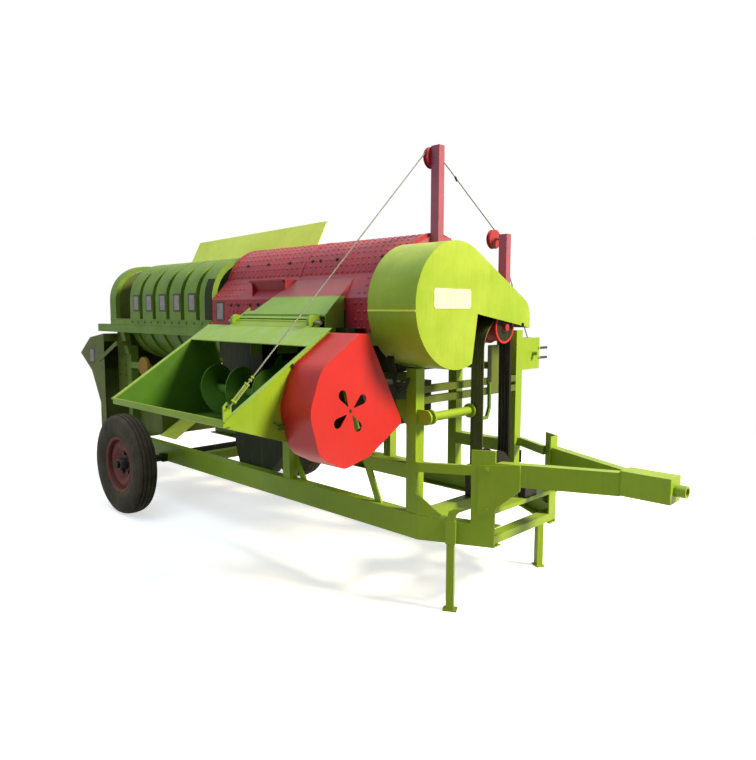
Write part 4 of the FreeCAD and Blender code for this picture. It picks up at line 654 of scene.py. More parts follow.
# ---- rules for what repeats ------------------------------------------------------------
class Rule:
    """A Geometry Nodes tree with named sizes, grown once for each piece."""

    def __init__(self, name: str, sizes: dict[str, float | int]) -> None:
        """Starts the tree with its inputs.

        Args:
            name: Tree's name.
            sizes: Inputs and their first values, in metres or counts.
        """
        self.tree = bpy.data.node_groups.new(name, "GeometryNodeTree")
        self.keys = {}
        self.socket("Geometry", "NodeSocketGeometry")
        for label, value in sizes.items():
            kind = "NodeSocketInt" if isinstance(value, int) else "NodeSocketFloat"
            self.socket(label, kind).default_value = value
        self.socket("Finish", "NodeSocketMaterial")
        self.tree.interface.new_socket("Geometry", in_out="OUTPUT", socket_type="NodeSocketGeometry")
        self.inlet = add_node(self.tree, "NodeGroupInput")

    def socket(self, label: str, kind: str) -> bpy.types.NodeTreeInterfaceSocket:
        """Adds a named input and remembers its identifier.

        Args:
            label: Input's name.
            kind: Type name of its socket.

        Returns:
            The new input.
        """
        made = self.tree.interface.new_socket(label, in_out="INPUT", socket_type=kind)
        self.keys[label] = made.identifier
        return made

    def size(self, label: str) -> Socket:
        """Returns the socket of a named input."""
        return self.inlet.outputs[label]

    def node(self, kind: str, inputs: dict | None = None, **settings) -> Socket:
        """Adds a node and returns its first output."""
        return add_node(self.tree, kind, inputs, **settings).outputs[0]

    def maths(self, operation: str, first: Socket | float, second: Socket | float) -> Socket:
        """Adds an operation on two values."""
        return self.node("ShaderNodeMath", {0: first, 1: second}, operation=operation)

    def close(self, geometry: Socket) -> None:
        """Ends the tree in plain geometry with its material.

        Args:
            geometry: Socket with the tree's result.
        """
        loose = self.node("GeometryNodeRealizeInstances", {"Geometry": geometry})
        dressed = self.node("GeometryNodeSetMaterial", {"Geometry": loose, "Material": self.size("Finish")})
        add_node(self.tree, "NodeGroupOutput", {"Geometry": dressed})

    def grow(self, name: str, seed: bpy.types.Mesh, finish: Finishes, body: str, sizes: dict | None = None,
             stands_for: tuple[str, ...] = (), smooth: bool = False) -> bpy.types.Object:
        """Grows a piece from a seed mesh.

        Args:
            name: Piece's name.
            seed: Mesh that the rule starts from.
            finish: Finish of the piece.
            body: CAD body that carries it.
            sizes: Inputs that differ from the tree's own.
            stands_for: CAD nodes that the piece replaces.
            smooth: Whether the piece is shaded smooth.

        Returns:
            The piece's object.
        """
        host = link(name + "_seed", seed)
        modifier = host.modifiers.new("rule", "NODES")
        modifier.node_group = self.tree
        modifier[self.keys["Finish"]] = finish.value.material()
        for label, value in (sizes or {}).items():
            modifier[self.keys[label]] = value
        graph = bpy.context.evaluated_depsgraph_get()
        mesh = bpy.data.meshes.new_from_object(host.evaluated_get(graph))
        host.modifiers.remove(modifier)
        bpy.data.objects.remove(host)
        if smooth:
            mesh.shade_smooth()
        return settle(name, mesh, finish, body, stands_for)


def facing_points(spots: list[tuple[Point, Point]]) -> bpy.types.Mesh:
    """Makes points that know which way they face.

    Args:
        spots: Places in machine millimetres with the directions they face.

    Returns:
        Mesh of loose points with a "facing" attribute.
    """
    mesh = bpy.data.meshes.new("points")
    mesh.from_pydata([place(spot) for spot, _ in spots], [], [])
    facing = mesh.attributes.new("facing", "FLOAT_VECTOR", "POINT")
    for item, (_, way) in zip(facing.data, spots):
        item.vector = Vector(way).normalized()
    return mesh


def line_mesh(paths: list[list[Point]]) -> bpy.types.Mesh:
    """Makes lines of edges.

    Args:
        paths: Points of each line, in machine millimetres.

    Returns:
        Mesh with the edges.
    """
    mesh = bpy.data.meshes.new("line")
    points, edges = [], []
    for path in paths:
        edges += [(len(points) + i, len(points) + i + 1) for i in range(len(path) - 1)]
        points += [place(point) for point in path]
    mesh.from_pydata(points, edges, [])
    return mesh


def studs_rule() -> Rule:
    """Writes the rule that sets a many-sided head on a washer at each facing point.

    Returns:
        The rule.
    """
    rule = Rule("studs", {"Head radius": 0.008, "Head height": 0.006, "Sides": 6, "Washer radius": 0.011,
                          "Washer height": 0.002})
    height, thick = rule.size("Head height"), rule.size("Washer height")
    head = rule.node("GeometryNodeMeshCylinder", {
        "Vertices": rule.size("Sides"), "Radius": rule.size("Head radius"), "Depth": height})
    lift = rule.maths("ADD", rule.maths("MULTIPLY", height, 0.5), thick)
    head = rule.node("GeometryNodeTransform", {
        "Geometry": head, "Translation": rule.node("ShaderNodeCombineXYZ", {"Z": lift})})
    washer = rule.node("GeometryNodeMeshCylinder", {
        "Vertices": 14, "Radius": rule.size("Washer radius"), "Depth": thick})
    washer = rule.node("GeometryNodeTransform", {
        "Geometry": washer,
        "Translation": rule.node("ShaderNodeCombineXYZ", {"Z": rule.maths("MULTIPLY", thick, 0.5)})})
    both = add_node(rule.tree, "GeometryNodeJoinGeometry")
    rule.tree.links.new(head, both.inputs[0])
    rule.tree.links.new(washer, both.inputs[0])
    rule.close(instanced(rule, both.outputs[0]))
    return rule


def dimples_rule() -> Rule:
    """Writes the rule that sets a low round dimple at each facing point.

    Returns:
        The rule.
    """
    rule = Rule("dimples", {"Radius": 0.009, "Height": 0.0045})
    ball = rule.node("GeometryNodeMeshUVSphere", {"Segments": 8, "Rings": 4, "Radius": rule.size("Radius")})
    squash = rule.maths("DIVIDE", rule.size("Height"), rule.size("Radius"))
    ball = rule.node("GeometryNodeTransform", {
        "Geometry": ball, "Scale": rule.node("ShaderNodeCombineXYZ", {"X": 1.0, "Y": 1.0, "Z": squash})})
    rule.close(instanced(rule, ball))
    return rule


def instanced(rule: Rule, shape: Socket) -> Socket:
    """Sets a shape on each point of the rule's seed, turned the way the point faces.

    Args:
        rule: Rule that is being written.
        shape: Socket with the shape.

    Returns:
        Geometry socket with the instances.
    """
    way = rule.node("GeometryNodeInputNamedAttribute", {"Name": "facing"}, data_type="FLOAT_VECTOR")
    turn = rule.node("FunctionNodeAlignRotationToVector", {"Vector": way}, axis="Z")
    return rule.node("GeometryNodeInstanceOnPoints", {
        "Points": rule.size("Geometry"), "Instance": shape, "Rotation": turn})


def row_rule() -> Rule:
    """Writes the rule that repeats its seed in a row along X.

    Returns:
        The rule.
    """
    rule = Rule("row", {"Count": 4, "Step": 0.02})
    step = rule.node("ShaderNodeCombineXYZ", {"X": rule.size("Step")})
    line = rule.node("GeometryNodeMeshLine", {"Count": rule.size("Count"), "Offset": step})
    rule.close(rule.node("GeometryNodeInstanceOnPoints", {"Points": line, "Instance": rule.size("Geometry")}))
    return rule


def strands_rule(count: int = 3) -> Rule:
    """Writes the rule that winds strands round a line.

    Args:
        count: Number of strands.

    Returns:
        The rule.
    """
    rule = Rule("strands", {"Rope radius": 0.002, "Strand radius": 0.002, "Lay": 0.05, "Step": 0.006})
    curve = rule.node("GeometryNodeMeshToCurve", {"Mesh": rule.size("Geometry")})
    fine = add_node(rule.tree, "GeometryNodeResampleCurve", {0: curve}, mode="LENGTH")
    rule.tree.links.new(rule.size("Step"), fine.inputs["Length"])
    along = add_node(rule.tree, "GeometryNodeSplineParameter").outputs["Length"]
    turns = rule.maths("DIVIDE", rule.maths("MULTIPLY", along, FULL_TURN), rule.size("Lay"))
    normal = rule.node("GeometryNodeInputNormal")
    across = rule.node("ShaderNodeVectorMath", {0: rule.node("GeometryNodeInputTangent"), 1: normal},
                       operation="CROSS_PRODUCT")
    profile = rule.node("GeometryNodeCurvePrimitiveCircle", {
        "Resolution": 5, "Radius": rule.size("Strand radius")})
    rope = add_node(rule.tree, "GeometryNodeJoinGeometry")
    for k in range(count):
        angle = rule.maths("ADD", turns, FULL_TURN * k / count)
        parts = []
        for way, wave in ((normal, "COSINE"), (across, "SINE")):
            reach = rule.maths("MULTIPLY", rule.node("ShaderNodeMath", {0: angle}, operation=wave),
                               rule.size("Rope radius"))
            parts.append(rule.node("ShaderNodeVectorMath", {0: way, "Scale": reach}, operation="SCALE"))
        offset = rule.node("ShaderNodeVectorMath", {0: parts[0], 1: parts[1]}, operation="ADD")
        strand = rule.node("GeometryNodeSetPosition", {"Geometry": fine.outputs[0], "Offset": offset})
        mesh = add_node(rule.tree, "GeometryNodeCurveToMesh", {0: strand, 1: profile})
        mesh.inputs["Fill Caps"].default_value = True
        rule.tree.links.new(mesh.outputs[0], rope.inputs[0])
    rule.close(rope.outputs[0])
    return rule


def beads_rule() -> Rule:
    """Writes the rule that lays a weld's ripples along lines.

    Returns:
        The rule.
    """
    rule = Rule("weld_beads", {"Bead radius": 0.0045, "Pitch": 0.006})
    curve = rule.node("GeometryNodeMeshToCurve", {"Mesh": rule.size("Geometry")})
    fine = add_node(rule.tree, "GeometryNodeResampleCurve", {0: curve}, mode="LENGTH")
    rule.tree.links.new(rule.size("Pitch"), fine.inputs["Length"])
    ripple = rule.node("GeometryNodeMeshIcoSphere", {"Radius": rule.size("Bead radius"), "Subdivisions": 1})
    rule.close(rule.node("GeometryNodeInstanceOnPoints", {"Points": fine.outputs[0], "Instance": ripple}))
    return rule


@dataclass
class Rules:
    """The rules for what repeats on the machine."""

    studs: Rule = field(default_factory=studs_rule)
    dimples: Rule = field(default_factory=dimples_rule)
    row: Rule = field(default_factory=row_rule)
    strands: Rule = field(default_factory=strands_rule)
    beads: Rule = field(default_factory=beads_rule)


def arc(y: float, z: float, radius: float, start: float, end: float, steps: int) -> list[Flat]:
    """Gives points on an arc.

    Args:
        y: Middle's place along Y.
        z: Middle's height.
        radius: Radius of the arc.
        start: First angle, in radians.
        end: Last angle, in radians.
        steps: Number of steps.

    Returns:
        Points as (y, z).
    """
    return [(y + radius * math.cos(start + (end - start) * i / steps),
             z + radius * math.sin(start + (end - start) * i / steps)) for i in range(steps + 1)]


# ---- running gear ----------------------------------------------------------------------
@dataclass
class RunningGear:
    """Tyres with ribbed treads and dished wheels with their nuts."""

    rules: Rules
    radius: float = 368.0
    tyre_steps: int = 52
    disc_steps: int = 44
    hub_steps: int = 28
    bolt_ring: float = 74.0
    bolts: int = 5
    first_bolt: float = 0.4
    nut_seat: float = 2.0

    def build(self) -> None:
        """Makes both wheels."""
        for side, body, out in (("right", "right_wheel", -1.0), ("left", "left_wheel", 1.0)):
            y = (low("tyre_" + side).y + high("tyre_" + side).y) / 2.0
            self.tyre(side, body, y)
            self.wheel(side, body, y, out)

    def tyre(self, side: str, body: str, y: float) -> None:
        """Turns a tyre with plain side walls and four tread grooves.

        Args:
            side: Side of the machine.
            body: Body of the wheel.
            y: Middle plane of the wheel.
        """
        half = [(0.0, 367.5), (11.0, 367.0), (13.0, 358.0), (19.0, 358.0), (21.0, 366.0), (38.0, 363.5),
                (40.0, 354.0), (46.0, 353.0), (48.0, 361.0), (63.0, 352.5), (70.0, 341.0), (77.0, 318.0),
                (81.0, 290.0), (76.0, 248.0), (66.0, 226.0), (60.0, 213.0), (55.0, 206.0)]
        profile = half + [(-a, r) for a, r in reversed(half[1:])]
        shape = Shape()
        shape.lathe(1, (0.0, y, self.radius), profile, self.tyre_steps)
        shape.piece("tyre_tread_" + side, Finishes.TYRE, body, ("tyre_" + side,), smooth=True)

    def wheel(self, side: str, body: str, y: float, out: float) -> None:
        """Builds a dished wheel with a rolled rim, a hub and its nuts.

        Args:
            side: Side of the machine.
            body: Body of the wheel.
            y: Middle plane of the wheel.
            out: Direction away from the machine along Y.
        """
        centre = (0.0, y, self.radius)
        rim = [(58.0, 205.0), (58.0, 199.0), (50.0, 186.0), (30.0, 181.0), (-30.0, 181.0), (-50.0, 186.0),
               (-58.0, 199.0), (-58.0, 205.0), (-45.0, 196.0), (-30.0, 190.0), (30.0, 190.0), (45.0, 196.0)]
        shape = Shape()
        shape.lathe(1, centre, [(out * a, r) for a, r in rim], self.disc_steps)
        dish = [(-6.0, 30.0), (-6.0, 60.0), (4.0, 92.0), (30.0, 124.0), (36.0, 142.0), (26.0, 166.0),
                (20.0, 184.0), (12.0, 184.0), (18.0, 164.0), (28.0, 142.0), (22.0, 126.0), (-4.0, 96.0),
                (-14.0, 62.0), (-14.0, 30.0)]
        shape.lathe(1, centre, [(out * a, r) for a, r in dish], self.disc_steps)
        shape.piece("wheel_disc_" + side, Finishes.WHEEL, body, ("wheel_" + side,), smooth=True)
        hub = [(58.0, 28.0), (58.0, 38.0), (50.0, 43.0), (2.0, 46.0), (0.0, 58.0), (-4.0, 58.0), (-8.0, 46.0),
               (-40.0, 46.0), (-66.0, 40.0), (-66.0, 28.0)]
        shape = Shape()
        shape.lathe(1, centre, [(out * a, r) for a, r in hub], self.hub_steps)
        shape.piece("wheel_hub_" + side, Finishes.IRON, body, smooth=True)
        spots = []
        for k in range(self.bolts):
            turn = FULL_TURN * k / self.bolts + self.first_bolt
            spots.append(((self.bolt_ring * math.cos(turn), y - out * self.nut_seat,
                           self.radius + self.bolt_ring * math.sin(turn)), (0.0, out, 0.0)))
        self.rules.studs.grow("wheel_nuts_" + side, facing_points(spots), Finishes.IRON, body,
                              {"Head radius": 0.013, "Head height": 0.016, "Washer radius": 0.017})


# ---- threshing body --------------------------------------------------------------------
@dataclass
class DrumHousing:
    """Dimpled red sheets, bolts, seams and the closed ledge of the threshing body."""

    rules: Rules
    dome_y: float = -150.0
    dome_z: float = 1605.0
    dome_radius: float = 300.0
    shoulder_z: float = 1560.0
    flange_z: float = 1692.0
    pitch: float = 44.0
    rear_x: float = 830.0
    first_turn: float = 0.2
    turn_margin: float = 0.25
    slope_rows: tuple = (0.2, 0.5, 0.8)
    wall_rows: tuple = (1400.0, 1444.0, 1488.0, 1532.0)
    edge_margin: float = 20.0
    first_dimple: float = 24.0
    hood_side_y: float = -400.0
    hood_reach: float = 300.0
    plate_span: tuple = (860.0, 990.0)
    bolt_turn: float = 144.3
    bolt_low_z: float = 1392.0
    strap_turns: tuple = (4.0, 163.0)
    strap_width: float = 26.0

    def build(self) -> None:
        """Makes everything on the housing."""
        self.dimples()
        self.bolts()
        self.seams()
        self.ledge()
        self.mouth()

    def outline(self) -> list[tuple[Flat, Flat]]:
        """Finds a dimple row's places round the right side and the top.

        Returns:
            Places (y, z) with their outward directions.
        """
        drop = self.flange_z - self.dome_z
        near_y = low("drum_housing").y
        rim_y = self.dome_y - math.sqrt(self.dome_radius ** 2 - drop ** 2)
        spots = []
        end = math.atan2(drop, rim_y - self.dome_y)
        count = int(self.dome_radius * (end - self.first_turn) / self.pitch)
        for k in range(count + 1):
            a = self.first_turn + (end - self.turn_margin) * k / count
            way = (math.cos(a), math.sin(a))
            spots.append(((self.dome_y + self.dome_radius * way[0],
                           self.dome_z + self.dome_radius * way[1]), way))
        run, rise = rim_y - near_y, self.flange_z - self.shoulder_z
        length = math.hypot(run, rise)
        for share in self.slope_rows:
            spots.append(((near_y + run * share, self.shoulder_z + rise * share),
                          (-rise / length, run / length)))
        for z in self.wall_rows:
            spots.append(((near_y, z), (-1.0, 0.0)))
        return spots

    def dimples(self) -> None:
        """Sets rows of low dimples over the sheets, clear of the hood and the ledge."""
        front = high("drum_housing").x
        hood_x0 = low("feed_hood").x - self.edge_margin
        hood_x1 = high("feed_hood").x + self.edge_margin
        reach_x0 = low("feed_hood").x - self.hood_reach
        spots = []
        for row, ((y, z), (dy, dz)) in enumerate(self.outline()):
            x = self.rear_x + self.first_dimple + (row % 2) * self.pitch / 2.0
            while x < front - self.edge_margin:
                hidden = (z < self.flange_z and dz < 0.99 and y < self.hood_side_y
                          and reach_x0 < x < hood_x1)
                plate = self.plate_span[0] < x < self.plate_span[1] and z < self.shoulder_z and y < 0.0
                if not plate and not (hidden and (x > hood_x0 or z > self.shoulder_z)):
                    spots.append(((x, y, z), (0.0, dy, dz)))
                x += self.pitch
        self.rules.dimples.grow("drum_dimples", facing_points(spots), Finishes.MAROON, "chassis",
                                {"Radius": 0.010, "Height": 0.0035}, smooth=True)

    def bolts(self) -> None:
        """Sets the bolts along the dome and low on the wall."""
        turn = math.radians(self.bolt_turn)
        y = self.dome_y + self.dome_radius * math.cos(turn)
        z = self.dome_z + self.dome_radius * math.sin(turn)
        spots = [((x, y, z), (0.0, math.cos(turn), math.sin(turn)))
                 for x in (1010.0, 1230.0, 1447.0, 1663.0, 1733.0, 1876.0, 2230.0)]
        wall = low("drum_housing").y
        spots += [((x, wall, 1526.0), (0.0, -1.0, 0.0)) for x in (1051.0, 1129.0, 1258.0, 1341.0)]
        spots += [((x, wall, self.bolt_low_z), (0.0, -1.0, 0.0)) for x in range(880, 1500, 120)]
        far = high("drum_housing").y
        spots += [((x, far, self.bolt_low_z), (0.0, 1.0, 0.0)) for x in range(880, 2400, 140)]
        self.rules.studs.grow("drum_bolts", facing_points(spots), Finishes.IRON, "chassis")

    def seams(self) -> None:
        """Adds the lapped joint straps across the dome."""
        start, end = (math.radians(turn) for turn in self.strap_turns)
        for number, x in enumerate((self.rear_x + 6.0, 1580.0, 2374.0)):
            strap = arc(self.dome_y, self.dome_z, self.dome_radius + 0.5, start, end, 36)
            outer = arc(self.dome_y, self.dome_z, self.dome_radius + 4.0, end, start, 36)
            shape = Shape()
            shape.prism(0, strap + outer, x, x + self.strap_width)
            shape.piece("drum_strap_%d" % number, Finishes.MAROON, "chassis", smooth=True)

    def ledge(self) -> None:
        """Closes the folded ledge beside the hood with its front sheet."""
        x0, x1 = low("feed_tray").x + 23.0, low("feed_tray").x + 351.0
        shape = Shape()
        shape.prism(0, [(-543.0, 1664.0), (-459.0, 1664.0), (-512.0, 1606.0)], x0 + 1.0, x1)
        shape.piece("ledge_sheet", Finishes.MAROON, "chassis")
        shape = Shape()
        shape.box((x0 - 6.0, -549.0, 1662.0), (x1, -545.2, 1676.0))
        shape.piece("ledge_lip", Finishes.MAROON, "chassis", bevel=1.0)

    def mouth(self) -> None:
        """Lines the feed mouth with near-black sheets that paint the shade in its pocket, and closes the
        throat on both sides of the sill with dark sheets that paint its shade too.
        """
        near = low("drum_housing").y
        x0, x1 = low("feed_sill").x, high("feed_sill").x
        inner, top = near + 6.0, 1497.0
        shape = Shape()
        for lowest, highest in (((x0 + 5.0, near + 232.0, 1194.0), (x1 - 5.0, near + 236.0, 1496.0)),
                                ((x0 + 5.0, inner, 1494.0), (x1 - 5.0, near + 236.0, top)),
                                ((x0 + 4.5, inner, 1194.0), (x0 + 7.0, near + 236.0, top)),
                                ((x1 - 7.0, inner, 1194.0), (x1 - 4.5, near + 236.0, top))):
            shape.box(lowest, highest)
        shape.piece("mouth_painted_shade_lining", Finishes.DARK, "chassis")
        tray = (low("feed_tray").x - 150.0, high("feed_tray").x - 40.0)
        shape = Shape()
        for start, end in ((tray[0], x0 - 1.0), (x1 + 1.0, tray[1])):
            shape.box((start, near - 80.0, 1084.0), (end, near - 77.0, 1404.0))
            shape.box((start, near - 77.0, 1084.0), (end, near - 1.0, 1087.0))
            shape.box((start, near - 77.0, 1400.0), (end, near - 1.0, 1403.0))
        for start in (x0 - 7.0, x1 + 1.0):
            shape.box((start, near - 130.0, 1092.0), (start + 5.0, near + 46.0, 1404.0))
        shape.piece("throat_painted_shade_sheets", Finishes.DARK, "chassis")


@dataclass
class Cage:
    """Foot bolts, foot strips, a near-black strip of painted shade at the end, and blank plates of the
    slatted cage.
    """

    rules: Rules
    slats: tuple = (-267.5, -63.5, 140.5, 344.5, 548.5)
    end_rib: float = 752.5
    plate_shift: float = 26.0
    bolt_z: float = 1402.0
    shade_radius: float = 285.0
    shade_rise: float = 133.0
    shade_foot: float = 1428.0
    shade_middle: float = 1567.0

    def build(self) -> None:
        """Makes the cage's plates and fasteners."""
        y = low("rib_cage").y
        for number, x in enumerate(self.slats):
            blank_plate("slat_plate_%d" % number, (x + self.plate_shift, y, 1545.0))
        blank_plate("wall_plate", (925.0, low("drum_housing").y, 1486.0))
        spots = []
        for x in self.slats + (self.end_rib,):
            for face, out in ((y, -1.0), (high("rib_cage").y, 1.0)):
                spots += [((x + d, face, self.bolt_z), (0.0, out, 0.0)) for d in (-50.0, 50.0)]
        self.rules.studs.grow("cage_bolts", facing_points(spots), Finishes.GREY_DARK_LIME, "chassis",
                              {"Head radius": 0.006, "Head height": 0.004, "Washer radius": 0.009})
        self.foot()
        self.paint_cage_end_shade(y)

    def paint_cage_end_shade(self, y: float) -> None:
        """Wraps a near-black strip, painted shade, round the cage's end beside the drum's sheets.

        Args:
            y: Face of the slats on the feeding side.
        """
        radius, middle, foot = self.shade_radius, self.shade_middle, self.shade_foot
        end = math.pi - math.asin(self.shade_rise / radius)
        inner = [(y - 0.3, foot)] + arc(y + radius, middle, radius + 0.3, math.pi, end, 8)
        outer = arc(y + radius, middle, radius + 2.5, end, math.pi, 8) + [(y - 2.5, foot)]
        shape = Shape()
        shape.prism(0, inner + outer, 742.0, 829.0)
        shape.piece("cage_end_painted_shade", Finishes.DARK, "chassis", smooth=True)

    def foot(self) -> None:
        """Adds the folded foot strip on which the slats stand."""
        x0, x1 = low("rib_cage").x, high("rib_cage").x
        y = low("rib_cage").y
        shape = Shape()
        shape.box((x0, y - 3.0, 1379.0), (x1, y - 0.2, 1386.0))
        shape.box((x0, y - 3.0, 1418.0), (x1, y - 0.2, 1425.0))
        shape.piece("cage_foot_strips", Finishes.DARKER_LIME, "chassis", bevel=0.8)


def blank_plate(name: str, centre: Point) -> None:
    """Adds a small blank plate in its dark frame on a wall that faces the feeding side.

    Args:
        name: Piece's name.
        centre: Middle of the plate on the wall.
    """
    x, y, z = centre
    for part, paint, inset, near, far in (("frame", Finishes.FRAME, 0.0, 0.2, 1.6),
                                          ("face", Finishes.GREY, 13.0, 1.6, 2.2)):
        w, h = PLATE_SIZE[0] / 2.0 - inset, PLATE_SIZE[1] / 2.0 - inset
        shape = Shape()
        shape.prism(1, [(x - w, z - h), (x + w, z - h), (x + w, z + h), (x - w, z + h)], y - near, y - far)
        shape.piece(name + "_" + part, paint, "chassis", bevel=0.3)


# ---- feeder ----------------------------------------------------------------------------
@dataclass
class Feeder:
    """Hinge knuckle and leaves, auger flight, a lining of painted shade, lip rod, latch and lever of the feed
    tray.
    """

    rules: Rules
    hinge_y: float = -785.0
    hinge_z: float = 1432.0
    knuckle_radius: float = 12.5
    shaft_radius: float = 30.0
    auger_y: float = -885.0
    auger_z: float = 1044.0
    flight_radius: float = 141.5
    flight_root: float = 27.0
    flight_half: float = 3.0
    pitch: float = 240.0
    flight_steps: int = 48
    guard_depth: float = 216.0
    lip_reach: float = 649.0

    def build(self) -> None:
        """Makes the feeder's small parts."""
        self.leaves()
        self.flight()
        self.lining()
        self.rims()
        self.latches()

    def front_wall(self) -> float:
        """Returns the place of the tray's front end along X."""
        return high("auger_guard").x - self.guard_depth

    def leaves(self) -> None:
        """Adds the hinge's knuckle and leaf on the tray and the fixed leaf on the hood."""
        y, z = self.hinge_y, self.hinge_z
        x0, x1 = low("feed_tray").x + 225.0, high("feed_tray").x - 185.0
        shape = Shape()
        shape.tube([(x0, y, z), (x1, y, z)], self.knuckle_radius, 18)
        shape.prism(0, [(y - 46.0, z - 22.5), (y - 5.0, z + 7.0), (y - 5.0, z + 4.0), (y - 46.0, z - 26.0)],
                    x0, x1)
        shape.piece("hinge_knuckle", Finishes.LIME, "feeder", smooth=True)
        shape = Shape()
        shape.prism(0, [(y + 42.0, z + 31.0), (y + 12.0, z + 20.0), (y + 12.0, z + 17.0),
                        (y + 42.0, z + 27.0)], x0, x1)
        shape.piece("hood_leaf", Finishes.HOOD, "chassis")

    def flight(self) -> None:
        """Winds the auger's flight round its shaft, in place of the faceted one."""
        start, end = low("feed_tray").x + 22.0 + 91.0, self.front_wall() - 24.0
        shape = Shape()
        shape.lathe(0, (0.0, self.auger_y, self.auger_z),
                    [(low("auger").x, 0.0), (low("auger").x, self.shaft_radius),
                     (high("auger").x, self.shaft_radius), (high("auger").x, 0.0)], 32, closed=False)
        rings = []
        for i in range(int(self.flight_steps * (end - start) / self.pitch) + 1):
            turn = FULL_TURN * i / self.flight_steps
            x = start + self.pitch * i / self.flight_steps
            half, root, tip = self.flight_half, self.flight_root, self.flight_radius
            section = ((-half, root), (half, root), (half, tip), (-half, tip))
            rings.append([shape.mesh.verts.new((x + dx, self.auger_y + r * math.cos(turn),
                                                self.auger_z + r * math.sin(turn))) for dx, r in section])
        shape.join(rings)
        shape.mesh.faces.new(rings[0])
        shape.mesh.faces.new(rings[-1])
        shape.piece("auger_flight", Finishes.DEEP, "auger", ("auger",), smooth=True)

    def lining(self) -> None:
        """Lines the tray with a darker green that paints the shade inside it, with holes for the auger's
        shaft.
        """
        x0, x1 = low("feed_tray").x + 26.0, high("feed_tray").x - 26.0
        ring = arc(self.auger_y, self.auger_z, self.shaft_radius + 6.0, -0.5 * math.pi + 0.02,
                   1.5 * math.pi - 0.02, 24)
        wall = [(-840.0, 1398.0), (-1427.0, 1021.0), (-1427.0, 1002.0), (-1083.0, 888.0),
                (self.auger_y - 0.6, 888.0)]
        wall += ring[::-1] + [(self.auger_y + 0.6, 888.0), (-729.0, 888.0), (-729.0, 1044.0)]
        floor = [(-1427.0, 1004.0), (-1083.0, 890.0), (-729.0, 890.0), (-729.0, 887.0), (-1084.0, 887.0),
                 (-1427.0, 1001.0)]
        shape = Shape()
        for start in (x0 + 0.5, self.front_wall() - 6.5):
            shape.prism(0, wall, start, start + 1.5)
        shape.piece("tray_painted_shade_walls", Finishes.DEEP, "feeder")
        shape = Shape()
        shape.prism(0, floor, x0 + 4.0, x1 - 4.0)
        shape.prism(0, [(-730.5, 890.5), (-730.5, 1042.0), (-728.0, 1042.0), (-728.0, 890.5)],
                    x0 + 4.0, x1 - 4.0)
        shape.piece("tray_painted_shade_floor", Finishes.DEEP, "feeder")

    def rims(self) -> None:
        """Rolls a rod along the tray's open edge."""
        x0, x1 = low("feed_tray").x + 2.0, high("feed_tray").x - 28.0
        lip_y = self.hinge_y - self.lip_reach
        shape = Shape()
        shape.tube([(x0, lip_y + 5.0, 1023.0), (x1, lip_y + 5.0, 1023.0)], 4.8)
        shape.piece("tray_lip_rod", Finishes.LIME, "feeder", smooth=True)

    def latches(self) -> None:
        """Adds the tray's latch and lever on its front end."""
        x = self.front_wall()
        shape = Shape()
        shape.box((x, -1140.0, 948.0), (x + 10.0, -1100.0, 972.0))
        shape.tube([(x + 6.0, -1138.0, 962.0), (x + 6.0, -1166.0, 985.0)], 5.0)
        shape.piece("tray_latch", Finishes.DEEP, "feeder", smooth=True)
        shape = Shape()
        shape.tube([(x + 5.0, -1048.0, 1222.0), (x + 9.0, -1060.0, 1250.0)], 5.0)
        shape.piece("tray_lever", Finishes.IRON, "feeder", smooth=True)


@dataclass
class Deflector:
    """Leaning sheet over the drum with its rolled edge and ribs.

    Attributes:
        foot_y: Lower edge's side face.
        crown: Height from which the sheet leans.
        gap: Height of the lower edge above the crown.
        lean: Sideways lean at the top.
        fall: Fall of the top edge to the rear.
        sheet: Thickness of the sheet.
        ribs: Number of ribs behind it.
        rib_width: Thickness of a rib.
        end_set_back: Distance of the last rib from the sheet's end.
    """

    foot_y: float = -165.0
    crown: float = 1852.0
    gap: float = 17.0
    lean: float = 110.0
    fall: float = 41.0
    sheet: float = 4.0
    ribs: int = 5
    rib_width: float = 5.0
    end_set_back: float = 150.0

    def build(self) -> None:
        """Makes the sheet, its edge rod and its ribs in place of the CAD sheet."""
        lowest, highest = low("top_deflector"), high("top_deflector")
        rise = highest.z - self.crown

        def on_sheet(x: float, z: float, deep: float) -> Point:
            """Returns a point on the sheet's face, or as deep behind it."""
            return x, self.foot_y + self.lean * (z - self.crown) / rise + deep, z

        corners = ((lowest.x, self.crown + self.gap), (highest.x, self.crown + self.gap),
                   (highest.x, highest.z), (lowest.x, highest.z - self.fall))
        shape = Shape()
        faces = [[shape.mesh.verts.new(on_sheet(x, z, deep)) for x, z in corners]
                 for deep in (0.0, self.sheet)]
        for face in faces:
            shape.mesh.faces.new(face)
        shape.join(faces)
        step = (highest.x - lowest.x - self.end_set_back) / (self.ribs - 1)
        behind = self.foot_y + self.sheet
        rib = [(behind, self.crown + 2.0), (behind + self.lean + 56.0, self.crown + 2.0),
               (behind + self.lean * 0.8, self.crown + rise * 0.8)]
        for i in range(self.ribs):
            x = lowest.x + 2.0 + i * step
            shape.prism(0, rib, x, x + self.rib_width)
        # The sheet's pale lime is partly painted sunlight.
        shape.piece("leaning_sheet", Finishes.PALE_LIME_PAINTED_SUNLIT, "chassis", ("top_deflector",), bevel=0.6)
        shape = Shape()
        shape.tube([on_sheet(lowest.x + 4.0, highest.z - self.fall - 3.0, self.sheet + 3.0),
                    on_sheet(highest.x - 4.0, highest.z - 4.0, self.sheet + 3.0)], 4.0, 8)
        shape.piece("leaning_sheet_rod", Finishes.DARKER_LIME, "chassis", smooth=True)


